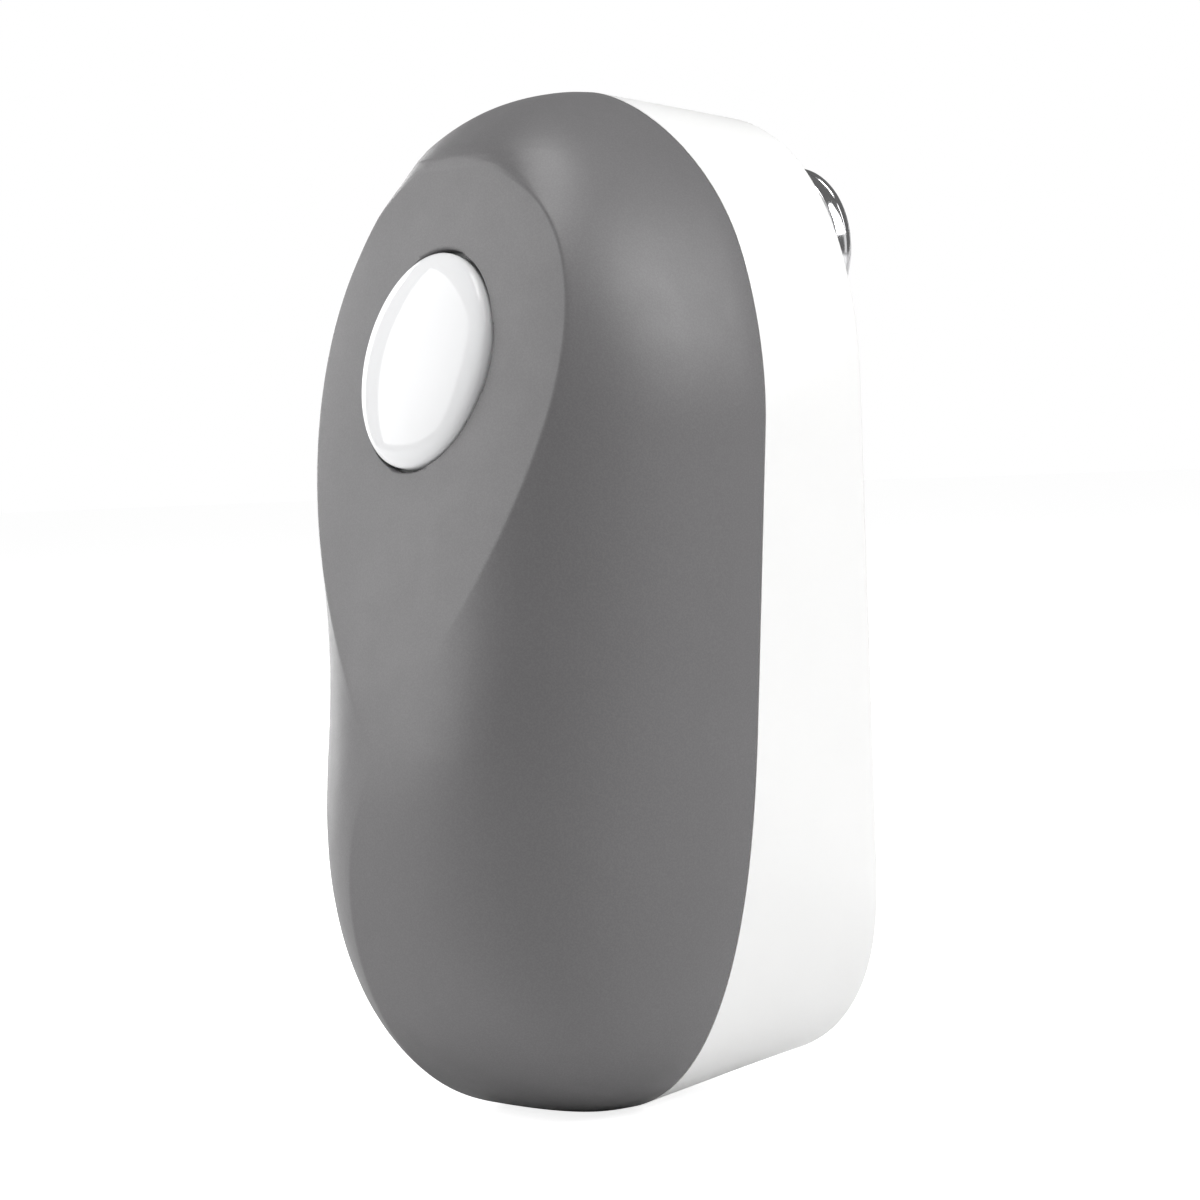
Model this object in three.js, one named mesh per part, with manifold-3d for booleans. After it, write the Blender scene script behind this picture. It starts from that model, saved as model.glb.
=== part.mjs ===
// Hand-held electric can opener, standing on its tail end.
// Millimetres. +Z runs up the body to the head, -Y faces the push button, +Y faces the flat underside
// that lies on the can, +X is to the right when the button is in front. The origin is on the foot.

import * as THREE from 'three';
import { mergeVertices } from 'three/addons/utils/BufferGeometryUtils.js';
import Module from 'manifold-3d';

const wasm = await Module();
wasm.setup();

// ---------------------------------------------------------------------------------------------
// Driving dimensions
// ---------------------------------------------------------------------------------------------

// Body
const bodyLength = 180;
const bodyHalfWidth = 42;
const undersideY = 40; // the flat back that lies on the can
const seamAtFoot = 4; // where the joint plane of the shells meets the foot
const seamLean = 0.082; // the joint between the shells moves back this much per millimetre of height
const wall = 2.2;
const footCut = 0.8; // how much of the rounded tail end is cut flat to stand on
const seamGap = 0.3; // shadow gap between the two shells
const gap = 0.3; // clearance between pieces that touch

// Outline of the body where the shells meet, and of the flat back, which is a little smaller
const seamHeadCurve = 60.3; // the head arc starts this far from the head
const seamTailCurve = 73.26; // the tail arc starts this far from the tail
const seamHeadPower = 1.8; // 2 is an ellipse, and more is squarer
const seamTailPower = 2.65;
const backHeadCurve = 54.54;
const backTailCurve = 41.94;
const backHeadPower = 2.25;
const backTailPower = 2.55;
const backSideInset = 2.8;
const backHeadInset = 4;
const backTailInset = 4.7;

// Front of the top cover
const crestHeight = 50.4; // highest point of the cover above the joint plane, at the waist
const waistFromTail = 66; // where the drop-shaped panel runs out into the S-shaped crest
const panelTopFromHead = 11.8;
const panelHalfWidth = 33;
const panelSlope = 0.0764;
const panelBend = 0.0008;
const panelCrown = 0.0033; // sideways curvature of the panel
const panelPeak = 0.6513; // where the panel is widest, as a share of its length
const panelTaper = 0.535; // roundness of the panel's wide end
const crestSwing = 10.6; // how far the crest moves to the left on the tail
const crestReach = 16; // how soon below the waist it does so
const crestEase = 1.2;
const rightFlankPower = 3.07; // roundness of the flanks and of both ends of the cover
const leftFlankPower = 2.1;
const coverTailPower = 2.3;
const coverHeadPower = 2.2;
const coverDomeFromHead = 30; // the dome of the head starts here, under the panel
const flankBlend = 32; // the left flank takes the shape of the right one over this length
const seamCurl = 0.0078; // forward curl of the joint at the head, per mm squared
const seamCurlFromHead = 30;

// Push button
const buttonFromHead = 47;
const buttonHalfWidth = 16.3;
const buttonHalfLength = 19.1;
const buttonDome = 3.4;
const buttonTravel = 2.5;
const buttonGap = 0.7; // ring between the button and the cover
const stemRadius = 2.6;
const boardDepth = 21; // circuit board below the middle of the panel
const boardThickness = 1.6;

// Cells
const cellRadius = 7.25;
const cellLength = 49.2;
const cellNub = 1.3;
const cellPitch = 14.85;
const cellCount = 4;
const cellFromTail = 19.5;
const contactSpringLength = 2.6;
const contactThickness = 0.4;

// Drive train, counted from the motor to the feed wheel
const gearModule = 0.8;
const motorTeeth = 10;
const wheelTeeth = 36;
const pinionTeeth = 10;
const lastPinionTeeth = 12;
const outputTeeth = 40;
const backlash = 0.26;
const layerHeight = 4.1; // distance between two neighbouring gear layers
const gearWidth = 3.6;
const gearboxPlate = 2;
const axleRadius = 1.5;
const driveShaftRadius = 2.5;
const motorRadius = 12;
const motorLength = 30;

// Can-opening tools on the underside
const toolsFromHead = 29;
const cutterX = 18.6;
const cutterRadius = 14.6;
const cutterHeight = 4.6;
const feedRadius = 6.5;
const feedTeeth = 18;
const feedWidth = 4;
const rimOpening = 5; // room for the rim between the two wheels when the cutter is open
const armLength = 18;
const armHalfWidth = 4.2;
const cutterAxleRadius = 2.6;

// Fasteners
const screwRadius = 1.5;
const screwHeadRadius = 2.8;
const screwHeadHeight = 1.8;
const postRadius = 3.5;
const screwDepth = 3.4; // depth of the counterbores in the flat back

// ---------------------------------------------------------------------------------------------
// Colours and finishes
// ---------------------------------------------------------------------------------------------

const finish = (color, roughness, metalness) => ({ color, roughness, metalness });
const finishes = {
  greyPlastic: finish(0x77787a, 0.55, 0),
  whitePlastic: finish(0xf1f1ef, 0.35, 0),
  glossWhite: finish(0xf7f7f6, 0.08, 0),
  innerPlastic: finish(0xd9d8d2, 0.5, 0),
  gearPlastic: finish(0xe9e4d2, 0.4, 0),
  steel: finish(0xb9bbbd, 0.3, 1),
  polished: finish(0xd6d7d8, 0.1, 1),
  spring: finish(0x9a9c9f, 0.3, 1),
  brass: finish(0xb79a58, 0.35, 1),
  cell: finish(0x2f5f8a, 0.35, 0.6),
  board: finish(0x1f5a3a, 0.5, 0),
  blackPlastic: finish(0x1b1b1c, 0.45, 0),
  redWire: finish(0xa31d1d, 0.5, 0),
  blackWire: finish(0x151515, 0.5, 0),
};

// ---------------------------------------------------------------------------------------------
// Mesh helpers
// ---------------------------------------------------------------------------------------------

const mm = (x, y, z) => new THREE.Vector3(x, y, z);

// A closed mesh as a solid that can be joined and cut, with its faces turned outwards.
function toSolid(geometry) {
  const bare = new THREE.BufferGeometry();
  bare.setAttribute('position', geometry.getAttribute('position').clone());
  if (geometry.index) bare.setIndex(geometry.index.clone());
  const merged = mergeVertices(bare, 1e-4);
  const position = merged.getAttribute('position');
  const index = merged.index.array;
  const triangles = [];
  let volume = 0;
  const a = new THREE.Vector3();
  const b = new THREE.Vector3();
  const c = new THREE.Vector3();
  for (let i = 0; i < index.length; i += 3) {
    const [p, q, r] = [index[i], index[i + 1], index[i + 2]];
    if (p === q || q === r || r === p) continue;
    triangles.push(p, q, r);
    a.fromBufferAttribute(position, p);
    b.fromBufferAttribute(position, q);
    c.fromBufferAttribute(position, r);
    volume += a.dot(b.cross(c));
  }
  if (volume < 0) triangles.reverse();
  return new wasm.Manifold(new wasm.Mesh({
    numProp: 3,
    vertProperties: new Float32Array(position.array),
    triVerts: new Uint32Array(triangles),
  }));
}

// The geometry moved by a position and turned by x, y, z angles.
function placed(geometry, position = [0, 0, 0], rotation = [0, 0, 0], scale = [1, 1, 1]) {
  const matrix = new THREE.Matrix4().compose(
    mm(...position),
    new THREE.Quaternion().setFromEuler(new THREE.Euler(...rotation)),
    mm(...scale),
  );
  return geometry.clone().applyMatrix4(matrix);
}

function fromSolid(solid) {
  const mesh = solid.getMesh();
  const geometry = new THREE.BufferGeometry();
  geometry.setAttribute('position', new THREE.Float32BufferAttribute(mesh.vertProperties, 3));
  geometry.setIndex(new THREE.Uint32BufferAttribute(mesh.triVerts, 1));
  geometry.computeVertexNormals();
  return geometry;
}

// Cross-sections with the same number of points, joined one after another and closed at both ends.
function loft(loops) {
  const count = loops[0].length;
  const positions = loops.flat().flatMap((point) => [point.x, point.y, point.z]);
  const index = [];
  for (let row = 0; row + 1 < loops.length; row += 1) {
    for (let i = 0; i < count; i += 1) {
      const here = row * count + i;
      const next = row * count + ((i + 1) % count);
      index.push(here, next, here + count, next, next + count, here + count);
    }
  }
  // The sections lie across Z or, where they follow the leaning joint plane, across Y.
  const flatten = (loop) => {
    const level = loop.every((point) => Math.abs(point.z - loop[0].z) < 1e-6);
    return loop.map((point) => new THREE.Vector2(point.x, level ? point.y : point.z));
  };
  const closeEnd = (row, isStart) => {
    const outline = flatten(loops[row]);
    const flip = THREE.ShapeUtils.isClockWise(outline) !== isStart;
    for (const [p, q, r] of THREE.ShapeUtils.triangulateShape(outline, [])) {
      index.push(row * count + p, row * count + (flip ? r : q), row * count + (flip ? q : r));
    }
  };
  closeEnd(0, true);
  closeEnd(loops.length - 1, false);
  const geometry = new THREE.BufferGeometry();
  geometry.setAttribute('position', new THREE.Float32BufferAttribute(positions, 3));
  geometry.setIndex(index);
  return geometry;
}

// A cylinder along Y from y0 to y1.
function rod(radius, y0, y1, x = 0, z = 0, sides = 14) {
  return placed(new THREE.CylinderGeometry(radius, radius, y1 - y0, sides), [x, (y0 + y1) / 2, z]);
}

// A block between two corners.
function block(low, high) {
  const size = high.map((value, i) => value - low[i]);
  return placed(new THREE.BoxGeometry(...size), low.map((value, i) => value + size[i] / 2));
}

// A flat outline in X and Z, pulled out along Y from y0 to y1.
function plate(shape, y0, y1, curveSegments = 6) {
  const geometry = new THREE.ExtrudeGeometry(shape, { depth: y1 - y0, bevelEnabled: false, curveSegments });
  return placed(geometry, [0, y1, 0], [Math.PI / 2, 0, 0]);
}

// A turned piece on a Y axis: the profile holds [radius, y] points and starts and ends on the axis.
function turned(profile, x = 0, z = 0, sides = 20) {
  const points = profile.map(([radius, y]) => new THREE.Vector2(radius, y));
  return placed(new THREE.LatheGeometry(points, sides), [x, 0, z]);
}

// A coil of round wire on a Y axis.
class CoilCurve extends THREE.Curve {
  constructor(radius, y0, y1, turns) {
    super();
    Object.assign(this, { radius, y0, y1, turns });
  }

  getPoint(t, target = new THREE.Vector3()) {
    const angle = t * this.turns * Math.PI * 2;
    return target.set(this.radius * Math.cos(angle), this.y0 + (this.y1 - this.y0) * t,
      this.radius * Math.sin(angle));
  }
}

function sweep(curve, radius, steps, sides = 6) {
  const section = new THREE.Shape();
  for (let i = 0; i < sides; i += 1) {
    const angle = (i / sides) * Math.PI * 2;
    const move = i === 0 ? 'moveTo' : 'lineTo';
    section[move](radius * Math.cos(angle), radius * Math.sin(angle));
  }
  section.closePath();
  return new THREE.ExtrudeGeometry(section, { steps, bevelEnabled: false, extrudePath: curve });
}

const coil = (radius, wire, y0, y1, turns) => (
  sweep(new CoilCurve(radius, y0, y1, turns), wire, Math.round(turns * 7), 5));

const wire = (points, radius = 0.7) => (
  sweep(new THREE.CatmullRomCurve3(points.map((point) => mm(...point))), radius, points.length * 3, 5));

// ---------------------------------------------------------------------------------------------
// The tree of pieces
// ---------------------------------------------------------------------------------------------

const opener = new THREE.Group();

function add(name, shape, look, parent = opener) {
  const geometry = shape.isBufferGeometry ? fromSolid(toSolid(shape)) : fromSolid(shape);
  const mesh = new THREE.Mesh(geometry, new THREE.MeshStandardMaterial(look));
  mesh.name = name;
  parent.add(mesh);
  return mesh;
}

// ---------------------------------------------------------------------------------------------
// Outlines of the body
// ---------------------------------------------------------------------------------------------

const topZ = bodyLength;
const waistZ = waistFromTail;
const panelTopZ = bodyLength - panelTopFromHead;
const superellipse = (t, power) => Math.max(1 - Math.min(Math.max(t, 0), 1) ** power, 0) ** (1 / power);

// The rim at the joint of the shells and the rim of the underside: a straight middle between a head
// arc and a tail arc, each with its own roundness.
const seamRim = {
  halfWidth: bodyHalfWidth,
  headZ: bodyLength - seamHeadCurve,
  tailZ: seamTailCurve,
  headEnd: bodyLength,
  tailEnd: -footCut,
  headPower: seamHeadPower,
  tailPower: seamTailPower,
};
const backRim = {
  halfWidth: bodyHalfWidth - backSideInset,
  headZ: bodyLength - backHeadCurve,
  tailZ: backTailCurve,
  headEnd: bodyLength - backHeadInset,
  tailEnd: backTailInset,
  headPower: backHeadPower,
  tailPower: backTailPower,
};

const inset = (rim, amount) => ({
  ...rim,
  halfWidth: rim.halfWidth - amount,
  headEnd: rim.headEnd - amount,
  tailEnd: rim.tailEnd + amount,
});

const mix = (a, b, t) => Object.fromEntries(
  Object.keys(a).map((key) => [key, a[key] + (b[key] - a[key]) * t]));

function rimHalfWidth(rim, z) {
  if (z > rim.headZ) {
    return rim.halfWidth * superellipse((z - rim.headZ) / (rim.headEnd - rim.headZ), rim.headPower);
  }
  return rim.halfWidth * superellipse((rim.tailZ - z) / (rim.tailZ - rim.tailEnd), rim.tailPower);
}

// The rim as a closed ring of points at the depth that yAt(z) gives.
function rimLoop(rim, yAt, lowestZ = 0, pointsPerEnd = 12) {
  const loop = [];
  for (const [centre, end, power] of [
    [rim.headZ, rim.headEnd, rim.headPower],
    [rim.tailZ, rim.tailEnd, rim.tailPower],
  ]) {
    const side = Math.sign(end - centre);
    for (let i = 0; i <= pointsPerEnd; i += 1) {
      const angle = (i / pointsPerEnd) * Math.PI;
      const across = side * Math.sign(Math.cos(angle)) * Math.abs(Math.cos(angle)) ** (2 / power);
      const along = Math.abs(Math.sin(angle)) ** (2 / power);
      const z = Math.max(centre + (end - centre) * along, lowestZ);
      loop.push(mm(rim.halfWidth * across, yAt(z), z));
    }
  }
  return loop;
}

// Depth of the joint: a leaning plane that curls forwards at the head.
function seamY(z) {
  const curled = Math.max(Math.min(z, topZ) - (topZ - seamCurlFromHead), 0);
  return seamAtFoot + seamLean * z - seamCurl * curled * curled;
}

// Half-width of the drop-shaped panel: pointed at the waist, round at the head.
function panelEdge(z) {
  const u = Math.min(Math.max((z - waistZ) / (panelTopZ - waistZ), 0), 1);
  const widest = panelPeak * (1 - panelPeak) ** panelTaper;
  return (panelHalfWidth * u * (1 - u) ** panelTaper) / widest;
}

// Sideways place of the crest: it swings to the left of the middle below the waist.
const crestX = (z) => (
  -crestSwing * (1 - Math.exp(-((Math.max(waistZ - z, 0) / crestReach) ** crestEase))));

// Height of the panel above the joint plane.
function panelHeight(x, z) {
  const t = z - waistZ;
  return crestHeight - panelSlope * t - panelBend * t * Math.abs(t) - panelCrown * x * x;
}

const spread = (from, to, steps, ease = (t) => t) => (
  Array.from({ length: steps }, (_, i) => from + (to - from) * ease(i / steps)));

// One cross-section of the cover: left flank, panel, right flank, then back along the joint plane.
// `thin` draws the inside of the wall instead of its outside.
function coverSection(z, thin = 0) {
  const sourceZ = Math.min(Math.max(z, 0), topZ);
  const outerWidth = Math.max(rimHalfWidth(seamRim, sourceZ), 0.02);
  const above = sourceZ >= waistZ;
  const widest = outerWidth * 0.97;
  const right = above ? Math.min(panelEdge(sourceZ), widest) : Math.max(crestX(sourceZ), -widest);
  const left = above ? -right : right;
  const tail = above ? 1 : superellipse((waistZ - sourceZ) / (waistZ + footCut), coverTailPower);
  const dome = (height) => (
    superellipse((height - topZ + coverDomeFromHead) / coverDomeFromHead, coverHeadPower));
  const head = sourceZ > panelTopZ ? dome(sourceZ) / dome(panelTopZ) : 1;
  const nearHead = Math.min(Math.max((sourceZ - panelTopZ + flankBlend) / flankBlend, 0), 1);
  const leftPower = leftFlankPower + (rightFlankPower - leftFlankPower) * nearHead * nearHead;
  const edge = panelHeight(right, Math.max(sourceZ, waistZ)) * tail * head;
  const middle = above ? panelHeight(0, sourceZ) * head : edge;
  const flank = (x) => {
    if (x < left) {
      return (edge * superellipse(-x / outerWidth, leftPower))
        / superellipse(-left / outerWidth, leftPower);
    }
    if (x <= right) return above ? panelHeight(x, sourceZ) * head : edge;
    if (above) {
      return (edge * superellipse(x / outerWidth, rightFlankPower))
        / superellipse(right / outerWidth, rightFlankPower);
    }
    return edge * superellipse((x - right) / (outerWidth - right), rightFlankPower);
  };
  const columns = [
    ...spread(-outerWidth, left, 5, (t) => 1 - Math.cos((t * Math.PI) / 2)),
    ...spread(left, right, 3),
    ...spread(right, outerWidth, 6, (t) => Math.sin((t * Math.PI) / 2)),
    outerWidth,
  ];
  const widthScale = thin ? Math.max(outerWidth - thin, 0.01) / outerWidth : 1;
  const heightScale = thin ? Math.max(middle - thin, 0.01) / Math.max(middle, 0.01) : 1;
  const base = seamY(z) + (thin ? 1 : -seamGap / 2);
  const section = columns.map((x) => mm(x * widthScale,
    seamY(z) - Math.max(flank(x) * heightScale, thin ? -1 : seamGap), z));
  section.push(mm(outerWidth * widthScale, base, z), mm(-outerWidth * widthScale, base, z));
  return section;
}

// Heights of the cross-sections, closer together at both ends.
function sectionHeights(low, high) {
  const rows = Math.ceil(bodyLength / 11.5);
  const heights = [waistZ, panelTopZ];
  for (let i = 0; i <= rows; i += 1) {
    const even = i / rows;
    const eased = (1 - Math.cos(even * Math.PI)) / 2;
    heights.push(low + (high - low) * (0.2 * even + 0.8 * eased));
  }
  return heights.sort((p, q) => p - q);
}

function coverSolid(thin = 0) {
  const heights = sectionHeights(thin, topZ - (thin ? thin * 1.5 : 0.05));
  return toSolid(loft(heights.map((z) => coverSection(z, thin))));
}

// Everything from y0 to y1 behind the curled joint, in the same steps as the cover.
function seamSlab(y0, y1) {
  const reach = bodyHalfWidth + 5;
  const heights = [-5, ...sectionHeights(0, topZ - 0.05), topZ + 5];
  return toSolid(loft(heights.map((z) => [
    mm(-reach, seamY(z) + y0, z), mm(reach, seamY(z) + y0, z),
    mm(reach, seamY(z) + y1, z), mm(-reach, seamY(z) + y1, z),
  ])));
}

// ---------------------------------------------------------------------------------------------
// Places of the mechanism
// ---------------------------------------------------------------------------------------------

const innerBackY = undersideY - wall;
const toolZ = topZ - toolsFromHead;
const feedX = cutterX - cutterRadius - rimOpening - feedRadius;

// Gear layers, counted from the underside
const rearPlate = { y1: innerBackY - 1.4, y0: innerBackY - 1.4 - gearboxPlate };
const layerY1 = (layer) => rearPlate.y0 - 0.4 - layer * layerHeight;
const frontPlate = { y1: layerY1(3) - gearWidth - 0.5, y0: layerY1(3) - gearWidth - 0.5 - gearboxPlate };

const meshDistance = (first, second) => ((first + second) * gearModule) / 2;
const stepFrom = (point, distance, degrees) => ({
  x: point.x + distance * Math.cos((degrees * Math.PI) / 180),
  z: point.z + distance * Math.sin((degrees * Math.PI) / 180),
});

const output = { x: feedX, z: toolZ };
const third = stepFrom(output, meshDistance(lastPinionTeeth, outputTeeth), -90);
const second = stepFrom(third, meshDistance(pinionTeeth, wheelTeeth), -20);
const first = stepFrom(second, meshDistance(pinionTeeth, wheelTeeth), 215);
const motor = stepFrom(first, meshDistance(motorTeeth, wheelTeeth), 214);
const cutter = { x: cutterX, z: toolZ };
const pivot = { x: cutterX, z: toolZ - armLength };

const gearRadius = (teeth) => (teeth * gearModule) / 2 + gearModule;
const wheelRadius = gearRadius(wheelTeeth);

// Long screws that hold the gearbox together, each clear of the gears next to it
const towerRadius = 3;
const towers = [
  { x: third.x - wheelRadius - towerRadius - 2.6, z: third.z },
  { x: pivot.x + armHalfWidth + towerRadius + 3.5, z: pivot.z - 2 },
  { x: motor.x + 4.5, z: motor.z - motorRadius - towerRadius - 2 },
];

// Case screws go in from the underside, beside the gearbox
const casePoint = (side, z) => ({
  x: side * (rimHalfWidth(inset(backRim, wall), z) - postRadius - 0.5),
  z,
});
const caseScrews = [
  stepFrom(output, gearRadius(outputTeeth) + postRadius + 3.8, 47),
  casePoint(1, second.z - 2),
  casePoint(-1, waistZ + 17),
  casePoint(1, waistZ + 17),
];

// Button frame: its middle lies on the panel and its -Y axis stands square to the panel
const buttonZ = topZ - buttonFromHead;
const buttonLean = Math.atan(seamLean + panelSlope + 2 * panelBend * (buttonZ - waistZ));
const buttonY = seamY(buttonZ) - panelHeight(0, buttonZ);
const buttonMatrix = new THREE.Matrix4().makeRotationX(-buttonLean).setPosition(0, buttonY, buttonZ);
const inButtonFrame = (geometry) => geometry.clone().applyMatrix4(buttonMatrix);

// ---------------------------------------------------------------------------------------------
// Shells
// ---------------------------------------------------------------------------------------------

const buttonRatio = buttonHalfLength / buttonHalfWidth;
const oval = (radius, y0, y1, sides = 32) => placed(rod(radius, y0, y1, 0, 0, sides), [0, 0, 0], [0, 0, 0],
  [1, 1, (buttonHalfLength + radius - buttonHalfWidth) / radius]);

const boardHalf = { x: buttonHalfWidth + 6.5, z: 9 };
const boardPostX = buttonHalfWidth + 3.9;

function makeTopCover() {
  const outer = coverSolid();
  let cover = outer.subtract(coverSolid(wall));
  const within = coverSolid(0.8);
  const bosses = caseScrews.map((screw) => toSolid(
    rod(postRadius, seamY(screw.z) - 60, seamY(screw.z) + 2, screw.x, screw.z, 12)));
  for (const side of [-1, 1]) {
    const post = rod(1.9, -2, boardDepth - gap, side * boardPostX, 0, 14);
    bosses.push(toSolid(inButtonFrame(post)));
  }
  for (const boss of bosses) cover = cover.add(boss.intersect(within));
  for (const screw of caseScrews) {
    const bore = rod(screwRadius + gap, seamY(screw.z) - 12, seamY(screw.z) + 5, screw.x, screw.z, 14);
    cover = cover.subtract(toSolid(bore));
  }
  const hole = oval(buttonHalfWidth + buttonGap, -8, 6);
  return cover.subtract(toSolid(inButtonFrame(hole)));
}

// The base wall as a solid from the joint plane to the underside, `thin` inside the outer face.
function baseSolid(thin = 0, front = seamGap / 2, back = undersideY - thin) {
  const rows = 2;
  const loops = [rimLoop(inset(seamRim, thin), (z) => seamAtFoot + seamLean * z - 12, thin)];
  for (let i = 0; i <= rows; i += 1) {
    const t = i / rows;
    const reach = t * (back / undersideY);
    const rim = inset(mix(seamRim, backRim, reach), thin);
    loops.push(rimLoop(rim, (z) => (seamY(z) + front) * (1 - t) + back * t, thin));
  }
  return toSolid(loft(loops)).intersect(seamSlab(front, bodyLength));
}

const doorCorner = 7;
const cellCentreX = (i) => (i - (cellCount - 1) / 2) * cellPitch;
const cellsHalfWidth = cellCentreX(cellCount - 1) + cellRadius;
const cellY = innerBackY - 0.4 - cellRadius;
const cellTopZ = cellFromTail + cellLength + cellNub;
const doorHalfWidth = cellsHalfWidth + 0.9;
const doorLowZ = cellFromTail - 3.2;
const doorHighZ = cellTopZ + 4.2;

function roundedShape(x0, x1, z0, z1, radius) {
  const shape = new THREE.Shape();
  shape.moveTo(x0 + radius, z0);
  shape.lineTo(x1 - radius, z0);
  shape.absarc(x1 - radius, z0 + radius, radius, -Math.PI / 2, 0, false);
  shape.lineTo(x1, z1 - radius);
  shape.absarc(x1 - radius, z1 - radius, radius, 0, Math.PI / 2, false);
  shape.lineTo(x0 + radius, z1);
  shape.absarc(x0 + radius, z1 - radius, radius, Math.PI / 2, Math.PI, false);
  shape.lineTo(x0, z0 + radius);
  shape.absarc(x0 + radius, z0 + radius, radius, Math.PI, Math.PI * 1.5, false);
  return shape;
}

const magnetRadius = 6.5;
const magnetPlace = { x: feedX - feedRadius - magnetRadius - 4.5, z: toolZ - 13 };
const restRib = { z: toolZ - cutterRadius - 8, halfLength: 12, halfWidth: 1.6, height: 3.6 };

function makeBaseShell() {
  let base = baseSolid().subtract(baseSolid(wall, -1, innerBackY));
  const inside = baseSolid(0.5);
  const openings = [];

  // Lip that reaches into the cover
  const within = (amount) => {
    const rim = inset(seamRim, amount);
    rim.headEnd -= wall * 0.6;
    return toSolid(loft([-bodyLength, bodyLength].map((y) => rimLoop(rim, () => y, amount))));
  };
  const lipThickness = 1.1;
  const rebate = wall + gap;
  const inner = within(rebate + lipThickness);
  base = base.add(within(wall - 0.4).subtract(inner).intersect(seamSlab(1.2, 3)));
  base = base.add(within(rebate).subtract(inner).intersect(seamSlab(-1.8, 2.8)));

  // Bosses for the case screws and the gearbox screws
  for (const screw of caseScrews) {
    const post = rod(postRadius + gap, seamY(screw.z) - 4, seamY(screw.z) + 2 + gap, screw.x, screw.z, 12);
    base = base.subtract(toSolid(post));
    const boss = rod(postRadius, seamY(screw.z) + 2 + gap, undersideY - 1, screw.x, screw.z, 12);
    base = base.add(toSolid(boss).intersect(inside));
    openings.push(rod(screwRadius + gap, 0, undersideY + 1, screw.x, screw.z, 14));
    openings.push(rod(screwHeadRadius + gap, undersideY - screwDepth, undersideY + 1, screw.x, screw.z, 12));
  }
  for (const tower of towers) {
    const boss = rod(towerRadius + 0.6, rearPlate.y1 + gap, undersideY - 1, tower.x, tower.z, 12);
    base = base.add(toSolid(boss));
    openings.push(rod(screwRadius + gap, rearPlate.y1, undersideY - 1, tower.x, tower.z, 14));
  }

  // Can side: rib that rests on the lid and ring that holds the magnet
  const { halfLength, halfWidth, height } = restRib;
  base = base.add(toSolid(block([-halfLength, undersideY - 1, restRib.z - halfWidth],
    [halfLength, undersideY + height, restRib.z + halfWidth])));
  const ring = rod(magnetRadius + 1.9, undersideY - 1, undersideY + 2.4, magnetPlace.x, magnetPlace.z, 28);
  const pocket = rod(magnetRadius + gap, undersideY, undersideY + 3, magnetPlace.x, magnetPlace.z, 28);
  base = base.add(toSolid(ring)).subtract(toSolid(pocket));

  // Holes for the drive shaft, the swinging cutter axle and the cell door
  openings.push(rod(driveShaftRadius + 1.2, innerBackY - 1, undersideY + 1, output.x, output.z));
  const slot = cutterAxleRadius + 0.9;
  openings.push(plate(roundedShape(cutter.x - slot - rimOpening * 0.6, cutter.x + slot,
    cutter.z - slot - 0.8, cutter.z + slot + 0.8, slot), innerBackY - 1, undersideY + 1));
  openings.push(plate(roundedShape(-doorHalfWidth, doorHalfWidth, doorLowZ, doorHighZ, doorCorner),
    innerBackY - 1, undersideY + 1));
  for (const opening of openings) base = base.subtract(toSolid(opening));
  return base;
}

function makeDoor() {
  const shape = roundedShape(-doorHalfWidth + gap, doorHalfWidth - gap, doorLowZ + gap, doorHighZ - gap,
    doorCorner - gap);
  let door = toSolid(plate(shape, innerBackY, undersideY));
  const ribs = 5;
  for (let i = 0; i < ribs; i += 1) {
    const z = doorHighZ - 7 - i * 2.4;
    door = door.subtract(toSolid(block([-11, undersideY - 0.8, z - 0.6], [11, undersideY + 1, z + 0.6])));
  }
  return door;
}

add('top_cover', makeTopCover(), finishes.greyPlastic);
add('base_shell', makeBaseShell(), finishes.whitePlastic);
add('battery_door', makeDoor(), finishes.whitePlastic);

// ---------------------------------------------------------------------------------------------
// Push button, its spring, the switch and the circuit board
// ---------------------------------------------------------------------------------------------

const buttonGroup = new THREE.Group();
buttonGroup.applyMatrix4(buttonMatrix);
opener.add(buttonGroup);

const flangeDepth = wall + 1.9;
const plungerHeight = 3;
const switchHeight = 6;
const switchTop = boardDepth - switchHeight;
const stemEnd = switchTop - plungerHeight - gap;

function makeButton() {
  const outer = [[0, stemEnd], [stemRadius, stemEnd], [stemRadius, 0.4], [buttonHalfWidth - 1.8, 0.4],
    [buttonHalfWidth - 1.8, flangeDepth + 1.3], [buttonHalfWidth + 1.4, flangeDepth + 1.3],
    [buttonHalfWidth + 1.4, flangeDepth], [buttonHalfWidth, flangeDepth]];
  const domeSteps = 7;
  for (let i = 0; i <= domeSteps; i += 1) {
    const angle = (i / domeSteps) * (Math.PI / 2);
    outer.push([buttonHalfWidth * Math.cos(angle) ** 0.8, -buttonDome * Math.sin(angle)]);
  }
  outer.at(-1)[0] = 0;
  return placed(turned(outer, 0, 0, 28), [0, 0, 0], [0, 0, 0], [1, 1, buttonRatio]);
}

add('push_button', makeButton(), finishes.glossWhite, buttonGroup);
add('button_spring', coil(buttonHalfWidth - 5, 0.5, 1.3, boardDepth - buttonTravel - 1.2, 5),
  finishes.spring, buttonGroup);

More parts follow.
